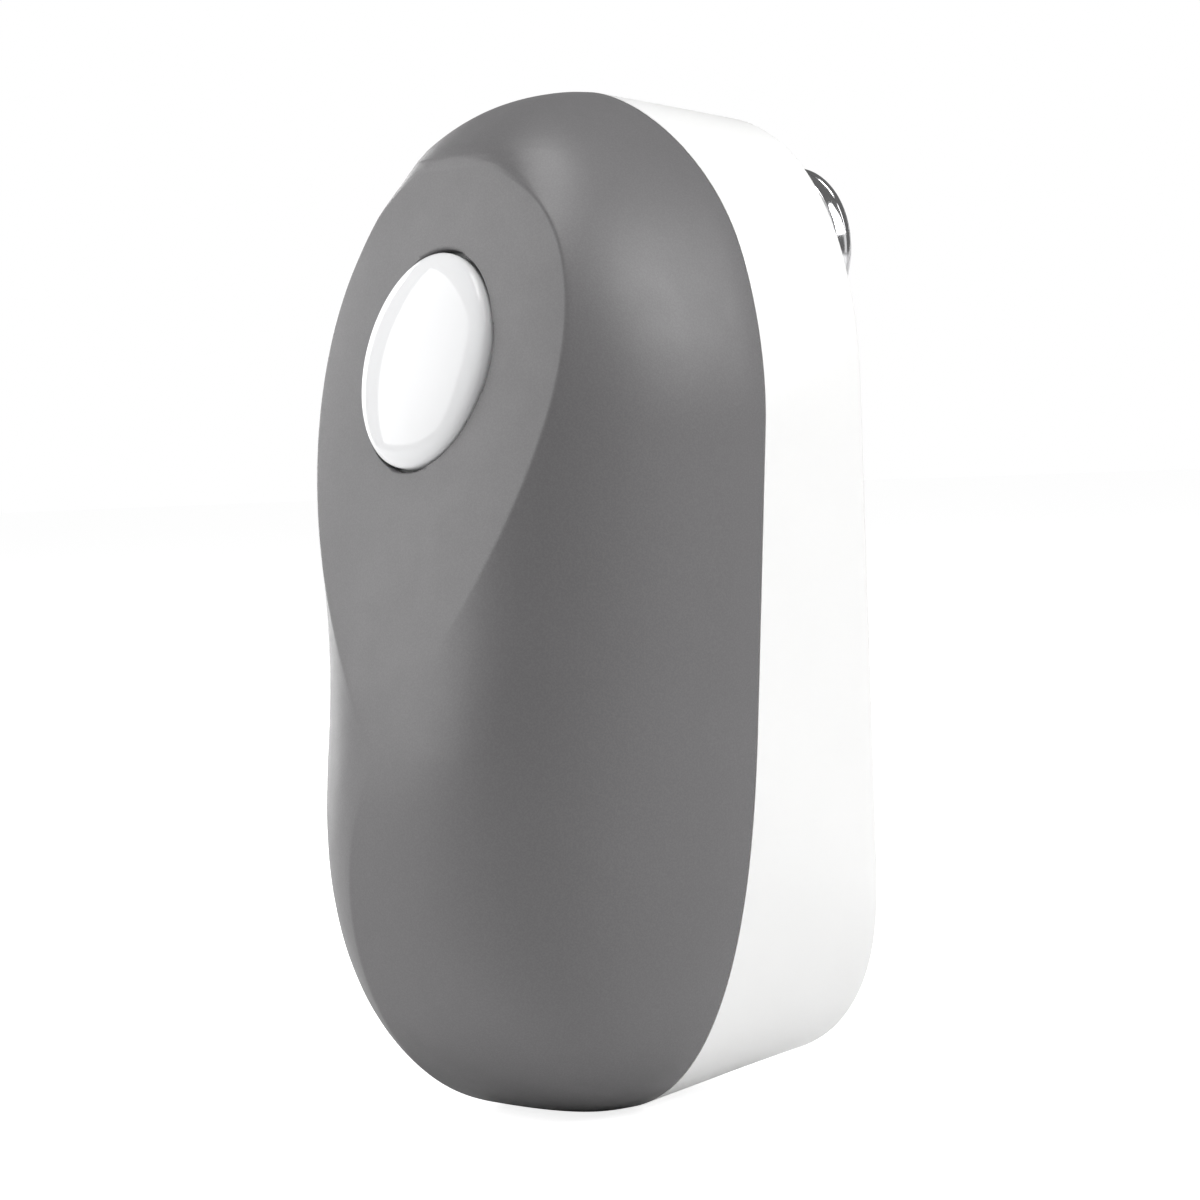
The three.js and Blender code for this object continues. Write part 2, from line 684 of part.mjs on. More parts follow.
const switchHalf = 6;
const plungerBore = 2.2;
add('switch_body', toSolid(block([-switchHalf, switchTop, -switchHalf],
  [switchHalf, boardDepth - gap, switchHalf]))
  .subtract(toSolid(rod(plungerBore + gap, switchTop - 1, boardDepth - 0.9, 0, 0, 12))),
finishes.blackPlastic, buttonGroup);
add('switch_plunger', rod(plungerBore, switchTop - plungerHeight, boardDepth - 0.9 - buttonTravel - gap,
  0, 0, 12), finishes.innerPlastic, buttonGroup);
add('circuit_board', block([-boardHalf.x, boardDepth, -boardHalf.z],
  [boardHalf.x, boardDepth + boardThickness, boardHalf.z]), finishes.board, buttonGroup);

// ---------------------------------------------------------------------------------------------
// Cells, contacts and tray
// ---------------------------------------------------------------------------------------------

const wallAbove = cellTopZ + contactThickness + 0.5;
const lowContactZ = cellFromTail - contactSpringLength - contactThickness;

function makeTray() {
  const floorY = cellY - cellRadius - 0.8;
  const halfWidth = cellsHalfWidth + 0.5;
  const outer = block([-halfWidth - 1.4, floorY - 1.8, lowContactZ - 2.4],
    [halfWidth + 1.4, innerBackY - 0.6, wallAbove + 2]);
  const room = block([-halfWidth, floorY, lowContactZ - 0.4], [halfWidth, innerBackY + 1, wallAbove]);
  const notch = block([-halfWidth * 0.55, floorY + 4, wallAbove - 1],
    [halfWidth * 0.55, innerBackY + 1, wallAbove + 3]);
  const ringInside = baseSolid(wall + gap + 1.4, 2);
  return toSolid(outer).subtract(toSolid(room)).subtract(toSolid(notch)).intersect(ringInside);
}

add('battery_tray', makeTray(), finishes.innerPlastic);

// Neighbouring cells stand in opposite directions, so that plates at the ends join them in a row.
function cellGeometry() {
  const rim = cellRadius - 0.5;
  return new THREE.LatheGeometry([[0, 0], [rim, 0], [cellRadius, 0.5], [cellRadius, cellLength - 0.6],
    [rim, cellLength], [2.75, cellLength], [2.75, cellLength + cellNub], [0, cellLength + cellNub]]
    .map(([radius, z]) => new THREE.Vector2(radius, z)), 16);
}

for (let i = 0; i < cellCount; i += 1) {
  const up = i % 2 === 0;
  const x = cellCentreX(i);
  const bottom = cellFromTail;
  const cell = placed(cellGeometry(), [x, cellY, up ? bottom : cellTopZ],
    [up ? Math.PI / 2 : -Math.PI / 2, 0, 0]);
  add(`cell_${i + 1}`, cell, finishes.cell);
}

function contactPlate(name, fromCell, toCell, z) {
  const half = cellRadius - 1.6;
  add(name, block([cellCentreX(fromCell) - half, cellY - half, z],
    [cellCentreX(toCell) + half, cellY + half, z + contactThickness]), finishes.steel);
}

const highContactZ = cellTopZ + gap / 2;
for (let pair = 0; pair < cellCount / 2; pair += 1) {
  contactPlate(`lower_contact_${pair + 1}`, pair * 2, pair * 2 + 1, lowContactZ);
}
contactPlate('upper_contact_left', 0, 0, highContactZ);
for (let pair = 1; pair < cellCount / 2; pair += 1) {
  contactPlate(`upper_contact_${pair}`, pair * 2 - 1, pair * 2, highContactZ);
}
contactPlate('upper_contact_right', cellCount - 1, cellCount - 1, highContactZ);
for (let i = 0; i < cellCount; i += 1) {
  const spring = coil(3.6, 0.4, lowContactZ + contactThickness + 0.7, cellFromTail - 0.7, 2);
  add(`contact_spring_${i + 1}`, placed(spring, [cellCentreX(i), cellY, 0], [Math.PI / 2, 0, 0]),
    finishes.spring);
}

// ---------------------------------------------------------------------------------------------
// Gears
// ---------------------------------------------------------------------------------------------

// One spur gear outline with its first tooth on +X turned by `phase`.
function gearShape(teeth, phase) {
  const pitch = (teeth * gearModule) / 2;
  const baseCircle = pitch * Math.cos((20 * Math.PI) / 180);
  const involute = (radius) => {
    if (radius <= baseCircle) return 0;
    const a = Math.acos(baseCircle / radius);
    return Math.tan(a) - a;
  };
  const rootRadius = pitch - 1.15 * gearModule;
  const tipRadius = pitch + 0.82 * gearModule;
  const halfAtPitch = (Math.PI * gearModule - backlash * 2) / (4 * pitch);
  const halfAt = (radius) => halfAtPitch + involute(pitch) - involute(radius);
  const shape = new THREE.Shape();
  const pitchAngle = (Math.PI * 2) / teeth;
  for (let tooth = 0; tooth < teeth; tooth += 1) {
    const centre = phase + tooth * pitchAngle;
    const flank = teeth < 20 ? [rootRadius, pitch, tipRadius] : [rootRadius, tipRadius];
    const outline = [...flank.map((r) => [r, -halfAt(r)]), ...flank.toReversed().map((r) => [r, halfAt(r)])];
    outline.forEach(([radius, angle], i) => {
      const x = radius * Math.cos(centre + angle);
      const z = radius * Math.sin(centre + angle);
      if (tooth === 0 && i === 0) shape.moveTo(x, z);
      else shape.lineTo(x, z);
    });
  }
  shape.closePath();
  return shape;
}

// Turn of a gear so that it is in mesh with one that is already placed.
function meshPhase(from, fromTeeth, fromPhase, to, teeth) {
  const direction = Math.atan2(to.z - from.z, to.x - from.x);
  const toothHere = ((direction - fromPhase) * fromTeeth) / (Math.PI * 2);
  return direction + Math.PI - ((Math.PI * 2) / teeth) * (0.5 - toothHere);
}

const gearSolid = (teeth, phase, y0, y1) => toSolid(plate(gearShape(teeth, phase), y0, y1));
const layer = (index) => ({ y1: layerY1(index), y0: layerY1(index) - gearWidth });

const phases = { output: 0 };
phases.thirdPinion = meshPhase(output, outputTeeth, phases.output, third, lastPinionTeeth);
phases.thirdWheel = 0;
phases.secondPinion = meshPhase(third, wheelTeeth, phases.thirdWheel, second, pinionTeeth);
phases.secondWheel = 0;
phases.firstPinion = meshPhase(second, wheelTeeth, phases.secondWheel, first, pinionTeeth);
phases.firstWheel = 0;
phases.motorPinion = meshPhase(first, wheelTeeth, phases.firstWheel, motor, motorTeeth);

const centred = (solid, place) => solid.translate([place.x, 0, place.z]);

// A wheel and a smaller pinion moulded in one.
function compoundGear(place, wheelLayer, pinion, teeth) {
  const wheel = layer(wheelLayer);
  const small = layer(wheelLayer - 1);
  const solid = gearSolid(wheelTeeth, pinion.wheelPhase, wheel.y0, wheel.y1)
    .add(gearSolid(teeth, pinion.phase, wheel.y1 - 0.5, small.y1))
    .subtract(toSolid(rod(axleRadius + gap, wheel.y0 - 1, small.y1 + 1, 0, 0, 12)));
  return centred(solid, place);
}

add('third_gear', compoundGear(third, 1, { wheelPhase: phases.thirdWheel, phase: phases.thirdPinion },
  lastPinionTeeth), finishes.gearPlastic);
add('second_gear', compoundGear(second, 2, { wheelPhase: phases.secondWheel, phase: phases.secondPinion },
  pinionTeeth), finishes.gearPlastic);
add('first_gear', compoundGear(first, 3, { wheelPhase: phases.firstWheel, phase: phases.firstPinion },
  pinionTeeth), finishes.gearPlastic);

const axleEnds = { y0: frontPlate.y0 - 0.8, y1: rearPlate.y1 + 0.6 };
for (const [name, place] of Object.entries({ third, second, first })) {
  add(`${name}_axle`, rod(axleRadius, axleEnds.y0, axleEnds.y1, place.x, place.z, 12), finishes.steel);
}

add('output_gear', centred(gearSolid(outputTeeth, phases.output, layer(0).y0, layer(0).y1)
  .subtract(toSolid(rod(driveShaftRadius + gap, layer(0).y0 - 1, layer(0).y1 + 1))), output),
finishes.steel);

// ---------------------------------------------------------------------------------------------
// Gearbox frame and motor
// ---------------------------------------------------------------------------------------------

// The tight outline around a set of discs.
function hullShape(discs) {
  const points = discs.flatMap(({ x, z, radius }) => Array.from({ length: 16 }, (_, i) => {
    const angle = (i / 16) * Math.PI * 2;
    return new THREE.Vector2(x + radius * Math.cos(angle), z + radius * Math.sin(angle));
  })).sort((p, q) => p.x - q.x || p.y - q.y);
  const turn = (o, p, q) => (p.x - o.x) * (q.y - o.y) - (p.y - o.y) * (q.x - o.x);
  const half = (list) => {
    const chain = [];
    for (const point of list) {
      while (chain.length > 1 && turn(chain.at(-2), chain.at(-1), point) <= 1e-6) chain.pop();
      chain.push(point);
    }
    return chain.slice(0, -1);
  };
  return new THREE.Shape([...half(points), ...half(points.toReversed())]);
}

const boltAt = (place, radius) => ({ ...place, radius });
const plateOutline = hullShape([
  boltAt(output, driveShaftRadius + 5), boltAt(second, 5), boltAt(pivot, armHalfWidth + 1),
  boltAt(motor, motorRadius), ...towers.map((tower) => boltAt(tower, towerRadius + 1.5)),
]);

function makePlate({ y0, y1 }, holes) {
  let solid = toSolid(plate(plateOutline, y0, y1));
  for (const { x, z, radius } of holes) {
    solid = solid.subtract(toSolid(rod(radius, y0 - 1, y1 + 1, x, z, 12)));
  }
  return solid;
}

const bushRadius = driveShaftRadius + 2;
const sharedHoles = [
  ...[first, second, third].map((place) => boltAt(place, axleRadius + gap)),
  ...towers.map((place) => boltAt(place, screwRadius + gap)),
];
add('gearbox_rear_plate', makePlate(rearPlate, [...sharedHoles, boltAt(output, bushRadius + gap),
  boltAt(pivot, axleRadius + gap)]), finishes.innerPlastic);
add('gearbox_front_plate', makePlate(frontPlate, [...sharedHoles, boltAt(output, driveShaftRadius + gap),
  boltAt(motor, 4.6)]), finishes.innerPlastic);

const tube = (outer, inner, y0, y1, place, sides = 16) => toSolid(rod(outer, y0, y1, place.x, place.z, sides))
  .subtract(toSolid(rod(inner, y0 - 1, y1 + 1, place.x, place.z, sides)));

add('drive_shaft_bush', tube(bushRadius, driveShaftRadius + gap, rearPlate.y0 + 0.1, undersideY - 0.4 - wall,
  output), finishes.brass);

// A screw with a cross slot. `headY` is where its head sits down, and the head is on the far side
// of it from `tipY`.
function screwSolid(place, tipY, headY) {
  const away = Math.sign(headY - tipY);
  const top = headY + away * screwHeadHeight;
  const profile = [[0, tipY], [screwRadius - 0.5, tipY], [screwRadius, tipY + away], [screwRadius, headY],
    [screwHeadRadius, headY], [screwHeadRadius, top - away * 0.5], [screwHeadRadius - 0.6, top], [0, top]];
  const slots = [[1.5, 0.35], [0.35, 1.5]].map(([halfX, halfZ]) => toSolid(block(
    [place.x - halfX, top - 0.9, place.z - halfZ], [place.x + halfX, top + 0.9, place.z + halfZ])));
  return slots.reduce((solid, slot) => solid.subtract(slot), toSolid(turned(profile, place.x, place.z, 10)));
}

towers.forEach((tower, i) => {
  add(`gearbox_spacer_${i + 1}`, tube(towerRadius, screwRadius + gap, frontPlate.y1 + gap / 2,
    rearPlate.y0 - gap / 2, tower, 12), finishes.steel);
  add(`gearbox_screw_${i + 1}`, screwSolid(tower, undersideY - 1 - gap, frontPlate.y0 - gap),
    finishes.steel);
});

const motorY1 = frontPlate.y0 - gap;
const motorY0 = motorY1 - motorLength;
add('motor_can', centred(toSolid(turned([[0, motorY0 + 3.3], [motorRadius - 0.2, motorY0 + 3.3],
  [motorRadius, motorY0 + 4], [motorRadius, motorY1 - 1], [motorRadius - 1, motorY1 - 0.2],
  [4, motorY1 - 0.2], [4, motorY1 + 1], [0, motorY1 + 1]]))
  .subtract(toSolid(rod(1 + gap, motorY1 - 16, motorY1 + 2, 0, 0, 12))), motor), finishes.steel);
add('motor_end_cap', turned([[0, motorY0], [5, motorY0], [5, motorY0 + 1.4], [motorRadius - 1, motorY0 + 1.4],
  [motorRadius - 0.4, motorY0 + 3], [0, motorY0 + 3]], motor.x, motor.z), finishes.blackPlastic);
add('motor_pinion', centred(gearSolid(motorTeeth, phases.motorPinion, layer(3).y0, layer(3).y1)
  .add(toSolid(rod(1, motorY1 - 15, layer(3).y0 + 1, 0, 0, 12))), motor), finishes.brass);

// ---------------------------------------------------------------------------------------------
// Drive shaft, feed wheel, cutter and its arm
// ---------------------------------------------------------------------------------------------

const feedY0 = undersideY + 0.8;
const feedY1 = feedY0 + feedWidth;
add('drive_shaft', turned([[0, frontPlate.y0 - 1], [driveShaftRadius - 0.4, frontPlate.y0 - 1],
  [driveShaftRadius, frontPlate.y0 - 0.6], [driveShaftRadius, feedY1 - 0.4], [0, feedY1 - 0.4]],
output.x, output.z, 16), finishes.steel);

function makeFeedWheel() {
  const shape = new THREE.Shape();
  const depth = 0.9;
  for (let i = 0; i < feedTeeth * 2; i += 1) {
    const angle = (i / (feedTeeth * 2)) * Math.PI * 2;
    const radius = i % 2 === 0 ? feedRadius : feedRadius - depth;
    const move = i === 0 ? 'moveTo' : 'lineTo';
    shape[move](radius * Math.cos(angle), radius * Math.sin(angle));
  }
  shape.closePath();
  const bore = rod(driveShaftRadius + gap, feedY0 - 1, feedY1 + 1);
  return centred(toSolid(plate(shape, feedY0, feedY1)).subtract(toSolid(bore)), output);
}

add('feed_wheel', makeFeedWheel(), finishes.steel);
add('feed_wheel_cap', turned([[0, feedY1], [3.7, feedY1], [3.9, feedY1 + 0.5], [2.6, feedY1 + 1.4],
  [0, feedY1 + 1.6]].map(([radius, y]) => [radius, y + gap]), output.x, output.z, 20), finishes.polished);

// The arm lies in the second gear layer, where no gear reaches the cutter
const armLayer = { y0: layer(1).y0, y1: layer(1).y1 };
function makeArm() {
  const outline = hullShape([boltAt(cutter, armHalfWidth), boltAt(pivot, armHalfWidth)]);
  const hole = rod(axleRadius + gap, armLayer.y0 - 1, armLayer.y1 + 1, pivot.x, pivot.z, 12);
  const bore = rod(cutterAxleRadius + gap, armLayer.y0 - 1, armLayer.y1 + 1, cutter.x, cutter.z, 12);
  return toSolid(plate(outline, armLayer.y0, armLayer.y1)).subtract(toSolid(hole)).subtract(toSolid(bore));
}
add('cutter_arm', makeArm(), finishes.steel);
add('arm_pivot_pin', rod(axleRadius, armLayer.y0 - 0.1, rearPlate.y1 + 0.8, pivot.x, pivot.z, 12),
  finishes.steel);
add('arm_spring', placed(coil(axleRadius + 1.5, 0.4, armLayer.y1 + 0.8, rearPlate.y0 - 0.8, 3),
  [pivot.x, 0, pivot.z]), finishes.spring);

const cutterY1 = undersideY + 0.7 + cutterHeight;
add('cutter_axle', turned([[0, armLayer.y0 - 0.8], [cutterAxleRadius - 0.3, armLayer.y0 - 0.8],
  [cutterAxleRadius, armLayer.y0 - 0.5], [cutterAxleRadius, cutterY1 - 1.6], [0, cutterY1 - 1.6]],
cutter.x, cutter.z, 20), finishes.steel);

function makeCutter() {
  const y0 = undersideY + 0.7;
  const hub = cutterRadius * 0.52;
  const rim = cutterRadius;
  const bore = cutterAxleRadius + gap;
  const profile = [[0, y0], [rim - 1.6, y0], [rim - 0.5, y0 + 0.5], [rim - 0.5, y0 + cutterHeight - 1.5],
    [rim, y0 + cutterHeight - 0.9], [rim - 0.3, y0 + cutterHeight - 0.4], [rim - 2.4, cutterY1 - 0.5],
    [hub + 1, cutterY1 - 1], [hub, cutterY1 - 0.2], [0, cutterY1 - 0.2]];
  return toSolid(turned(profile, cutter.x, cutter.z, 32))
    .subtract(toSolid(rod(bore, y0 - 1, cutterY1 + 1, cutter.x, cutter.z, 20)));
}
add('cutter_wheel', makeCutter(), finishes.polished);
add('cutter_cap', turned([[0, cutterY1], [4.4, cutterY1], [4.6, cutterY1 + 0.5], [3.2, cutterY1 + 1.3],
  [0, cutterY1 + 1.5]].map(([radius, y]) => [radius, y + gap - 0.2]), cutter.x, cutter.z, 20),
finishes.polished);

// ---------------------------------------------------------------------------------------------
// Magnet, case screws and wires
// ---------------------------------------------------------------------------------------------

add('lid_magnet', turned([[0, undersideY + gap], [magnetRadius, undersideY + gap],
  [magnetRadius, undersideY + 2.9], [magnetRadius - 0.6, undersideY + 3.4], [0, undersideY + 3.4]],
magnetPlace.x, magnetPlace.z, 28), finishes.steel);

caseScrews.forEach((screw, i) => {
  const headY = undersideY - screwDepth + gap;
  add(`case_screw_${i + 1}`, screwSolid(screw, seamY(screw.z) - 10, headY), finishes.steel);
});

const boardPoint = (x, depth, z) => mm(x, depth, z).applyMatrix4(buttonMatrix).toArray();
const behindBoard = boardDepth + boardThickness + 1.2;
const motorEndY = motorY0 - 1.2;
const trayFrontY = cellY - cellRadius - 4;

const leadX = motor.x + motorRadius + 2.2;
const leadY = (clearance) => boardPoint(0, behindBoard + clearance, -2)[1];
add('motor_lead_red', wire([
  boardPoint(-13, behindBoard, -2), [leadX + 0.5, leadY(3.7), motor.z + motorRadius + 1],
  [leadX, motorY0 + 5, motor.z + 5], [leadX - 4, motorY0 - 1.6, motor.z + 2],
  [motor.x + 3, motorEndY, motor.z + 2]]), finishes.redWire);
add('motor_lead_black', wire([
  boardPoint(-9, behindBoard, -2), [leadX + 3, leadY(2.9), motor.z + motorRadius - 1],
  [leadX + 1.5, motorY0 + 5, motor.z], [leadX - 4, motorY0 - 1.6, motor.z - 3],
  [motor.x + 3, motorEndY, motor.z - 3]]), finishes.blackWire);
add('battery_lead_red', wire([
  boardPoint(16, behindBoard, -4), [27, frontPlate.y0 - 9, first.z],
  [25, frontPlate.y0 - 8, wallAbove + 12], [cellCentreX(cellCount - 1), trayFrontY, wallAbove + 6],
  [cellCentreX(cellCount - 1), cellY, wallAbove + 3.4]]), finishes.redWire);
add('battery_lead_black', wire([
  boardPoint(11, behindBoard, -5), [18, frontPlate.y0 - 13, first.z],
  [0, frontPlate.y0 - 14, motor.z - motorRadius - 6], [cellCentreX(0), trayFrontY, wallAbove + 6],
  [cellCentreX(0), cellY, wallAbove + 3.4]]), finishes.blackWire);

export default opener;
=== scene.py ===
"""Looks of a hand-held electric can opener, built round its packed mechanical model.

The mechanical model gives every place and size. This script gives the shells, the push button, the
wheels and the cells their fine surfaces, and every piece its finish. Units are metres, +Z runs from the
tail to the head, -Y faces the push button and +Y faces the flat underside.
"""

import logging
import math
from collections.abc import Callable, Iterator, Sequence
from contextlib import contextmanager
from dataclasses import dataclass, field, replace
from enum import Enum

import bpy
import numpy as np
from mathutils import Matrix, Vector


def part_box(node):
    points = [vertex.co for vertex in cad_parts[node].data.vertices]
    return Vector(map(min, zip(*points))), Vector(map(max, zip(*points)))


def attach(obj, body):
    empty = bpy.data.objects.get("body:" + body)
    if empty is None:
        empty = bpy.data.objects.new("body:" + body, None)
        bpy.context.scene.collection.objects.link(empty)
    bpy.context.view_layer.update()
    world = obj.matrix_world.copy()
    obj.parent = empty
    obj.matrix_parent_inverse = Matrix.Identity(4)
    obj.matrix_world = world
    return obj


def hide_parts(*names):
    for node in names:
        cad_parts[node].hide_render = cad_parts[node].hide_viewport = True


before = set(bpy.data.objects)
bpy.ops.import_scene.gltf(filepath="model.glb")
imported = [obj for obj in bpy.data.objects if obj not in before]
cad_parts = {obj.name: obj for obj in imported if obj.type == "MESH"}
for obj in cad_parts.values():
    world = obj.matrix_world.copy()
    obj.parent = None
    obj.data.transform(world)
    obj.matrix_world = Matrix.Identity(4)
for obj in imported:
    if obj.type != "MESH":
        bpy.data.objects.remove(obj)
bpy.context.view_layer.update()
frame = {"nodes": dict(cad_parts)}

log = logging.getLogger("can_opener")

MM = 0.001
TINY = 0.01 * MM
Array = np.ndarray
Pair = tuple[float, float]
Colour = tuple[float, float, float]
Object = bpy.types.Object
Material = bpy.types.Material
Socket = bpy.types.NodeSocket


# ---- Workbench: small helpers round Blender's own tools ----


class Bench:
    """Selecting, editing and finishing meshes with Blender's operators."""

    @staticmethod
    def clear() -> None:
        """Deselects everything, so that an operator touches only what is picked next."""
        if bpy.context.mode != "OBJECT":
            bpy.ops.object.mode_set(mode="OBJECT")
        bpy.ops.object.select_all(action="DESELECT")

    @staticmethod
    def activate(piece: Object) -> None:
        """Makes the piece the only selected object and the active one."""
        Bench.clear()
        piece.select_set(True)
        bpy.context.view_layer.objects.active = piece

    @staticmethod
    @contextmanager
    def editing(piece: Object, mode: str = "VERT") -> Iterator[bpy.types.Mesh]:
        """Opens edit mode on a piece with nothing selected, and leaves it afterwards.

        Args:
            piece: the object to edit.
            mode: VERT, EDGE or FACE select mode.
        """
        Bench.activate(piece)
        bpy.ops.object.mode_set(mode="EDIT")
        bpy.ops.mesh.select_mode(type=mode)
        bpy.ops.mesh.select_all(action="DESELECT")
        try:
            yield piece.data
        finally:
            bpy.ops.object.mode_set(mode="OBJECT")

    @staticmethod
    def pick(piece: Object, kind: str, test: Callable[[Vector], bool]) -> int:
        """Selects vertices, edges or faces whose middle passes a test, from inside edit mode.

        Args:
            piece: the object in edit mode.
            kind: "VERT", "EDGE" or "FACE".
            test: takes the middle of the vertex, edge or face and says whether it is picked.

        Returns:
            How many were picked.
        """
        bpy.ops.mesh.select_all(action="DESELECT")
        bpy.ops.object.mode_set(mode="OBJECT")
        mesh = piece.data
        picked = 0
        if kind == "VERT":
            for vertex in mesh.vertices:
                vertex.select = test(vertex.co)
                picked += vertex.select
        elif kind == "EDGE":
            for edge in mesh.edges:
                ends = [mesh.vertices[i].co for i in edge.vertices]
                edge.select = all(test(end) for end in ends)
                picked += edge.select
        else:
            for face in mesh.polygons:
                face.select = test(face.center)
                picked += face.select
        bpy.ops.object.mode_set(mode="EDIT")
        return picked

    @staticmethod
    def modify(piece: Object, kind: str, **settings: object) -> None:
        """Adds a modifier with its settings and applies it.

        Args:
            piece: the object to change.
            kind: Blender's modifier type, such as BEVEL.
            settings: the modifier's properties.
        """
        modifier = piece.modifiers.new(kind.title(), kind)
        for name, value in settings.items():
            setattr(modifier, name, value)
        Bench.activate(piece)
        bpy.ops.object.modifier_apply(modifier=modifier.name)

    @staticmethod
    def tidy(piece: Object, distance: float = 0.002 * MM) -> None:
        """Merges doubled vertices and turns the faces outwards.

        Args:
            piece: the object to tidy.
            distance: how near two vertices are when they become one.
        """
        with Bench.editing(piece):
            bpy.ops.mesh.select_all(action="SELECT")
            bpy.ops.mesh.remove_doubles(threshold=distance)
            bpy.ops.mesh.normals_make_consistent(inside=False)

    @staticmethod
    def settle(piece: Object) -> None:
        """Moves the object's place, turn and scale into its mesh."""
        Bench.activate(piece)
        bpy.ops.object.transform_apply(location=True, rotation=True, scale=True)

    @staticmethod
    def smooth(piece: Object, degrees: float = 32.0) -> None:
        """Shades a piece smooth, apart from edges sharper than an angle."""
        Bench.activate(piece)
        bpy.ops.object.shade_smooth_by_angle(angle=math.radians(degrees))

    @staticmethod
    def duplicate(piece: Object, name: str) -> Object:
        """Copies a piece with a mesh of its own."""
        twin = piece.copy()
        twin.data = piece.data.copy()
        twin.name = name
        bpy.context.scene.collection.objects.link(twin)
        return twin

    @staticmethod
    def combine(piece: Object, tool: Object, operation: str) -> None:
        """Joins or cuts a piece with a tool object, and removes the tool.

        Args:
            piece: the object that is kept.
            tool: the closed mesh that is added or taken away.
            operation: UNION, DIFFERENCE or INTERSECT.
        """
        Bench.modify(piece, "BOOLEAN", operation=operation, object=tool, solver="EXACT")
        bpy.data.objects.remove(tool)

    @staticmethod
    def sheet(name: str, columns: int, rows: int, place: Callable[[Array, Array], Array]) -> Object:
        """A grid whose vertices are laid on a surface.

        Args:
            name: the piece's name.
            columns: faces across, where u runs from 0 to 1.
            rows: faces along, where v runs from 0 to 1.
            place: takes arrays of u and v and gives an array of points.

        Returns:
            The new object.
        """
        Bench.clear()
        bpy.ops.mesh.primitive_grid_add(x_subdivisions=columns, y_subdivisions=rows, size=1.0)
        piece = bpy.context.object
        piece.name = piece.data.name = name
        flat = np.empty(len(piece.data.vertices) * 3)
        piece.data.vertices.foreach_get("co", flat)
        grid = flat.reshape(-1, 3)
        points = place(grid[:, 0] + 0.5, grid[:, 1] + 0.5)
        piece.data.vertices.foreach_set("co", np.ascontiguousarray(points, dtype=float).ravel())
        piece.data.update()
        return piece

    @staticmethod
    def rod(name: str, radius: float, start: float, end: float, x: float, z: float,
            sides: int = 48) -> Object:
        """A plain cylinder along Y, used as a cutter or as the start of a piece.

        Args:
            name: the object's name.
            radius: its radius.
            start: lowest Y.
            end: highest Y.
            x: place of its axis across.
            z: place of its axis along the body.
            sides: number of sides.

        Returns:
            The new object, with its place in its mesh.
        """
        Bench.clear()
        bpy.ops.mesh.primitive_cylinder_add(vertices=sides, radius=radius, depth=end - start,
                                            location=(x, (start + end) / 2, z), rotation=(math.pi / 2, 0, 0))
        piece = bpy.context.object
        piece.name = piece.data.name = name
        Bench.settle(piece)
        return piece

    @staticmethod
    def block(name: str, low: Sequence[float], high: Sequence[float]) -> Object:
        """A box between two corners, with its place in its mesh."""
        Bench.clear()
        middle = [(a + b) / 2 for a, b in zip(low, high)]
        bpy.ops.mesh.primitive_cube_add(size=1.0, location=middle)
        piece = bpy.context.object
        piece.name = piece.data.name = name
        piece.scale = [b - a for a, b in zip(low, high)]
        Bench.settle(piece)
        return piece

    @staticmethod
    def turned(name: str, profile: Sequence[Pair], x: float, z: float,
               sides: int = 96) -> Object:
        """A turned piece on a Y axis: one ring, extruded and resized along its profile.

        Args:
            name: the piece's name.
            profile: (radius, y) from one end to the other; both ends are closed.
            x: place of the axis across.
            z: place of the axis along the body.
            sides: number of sides.

        Returns:
            The new object.
        """
        Bench.clear()
        (radius, y), *rest = profile
        bpy.ops.mesh.primitive_circle_add(vertices=sides, radius=max(radius, TINY), fill_type="NGON",
                                          location=(x, y, z), rotation=(math.pi / 2, 0, 0))
        piece = bpy.context.object
        piece.name = piece.data.name = name
        Bench.settle(piece)
        with Bench.editing(piece, "FACE"):
            bpy.ops.mesh.select_all(action="SELECT")
            last_radius, last_y = max(radius, TINY), y
            for next_radius, next_y in rest:
                next_radius = max(next_radius, TINY)
                bpy.ops.mesh.extrude_region_move(TRANSFORM_OT_translate={"value": (0, next_y - last_y, 0)})
                grow = next_radius / last_radius
                bpy.ops.transform.resize(value=(grow, 1, grow), center_override=(x, next_y, z))
                last_radius, last_y = next_radius, next_y
        Bench.tidy(piece)
        return piece


# ---- Finishes ----


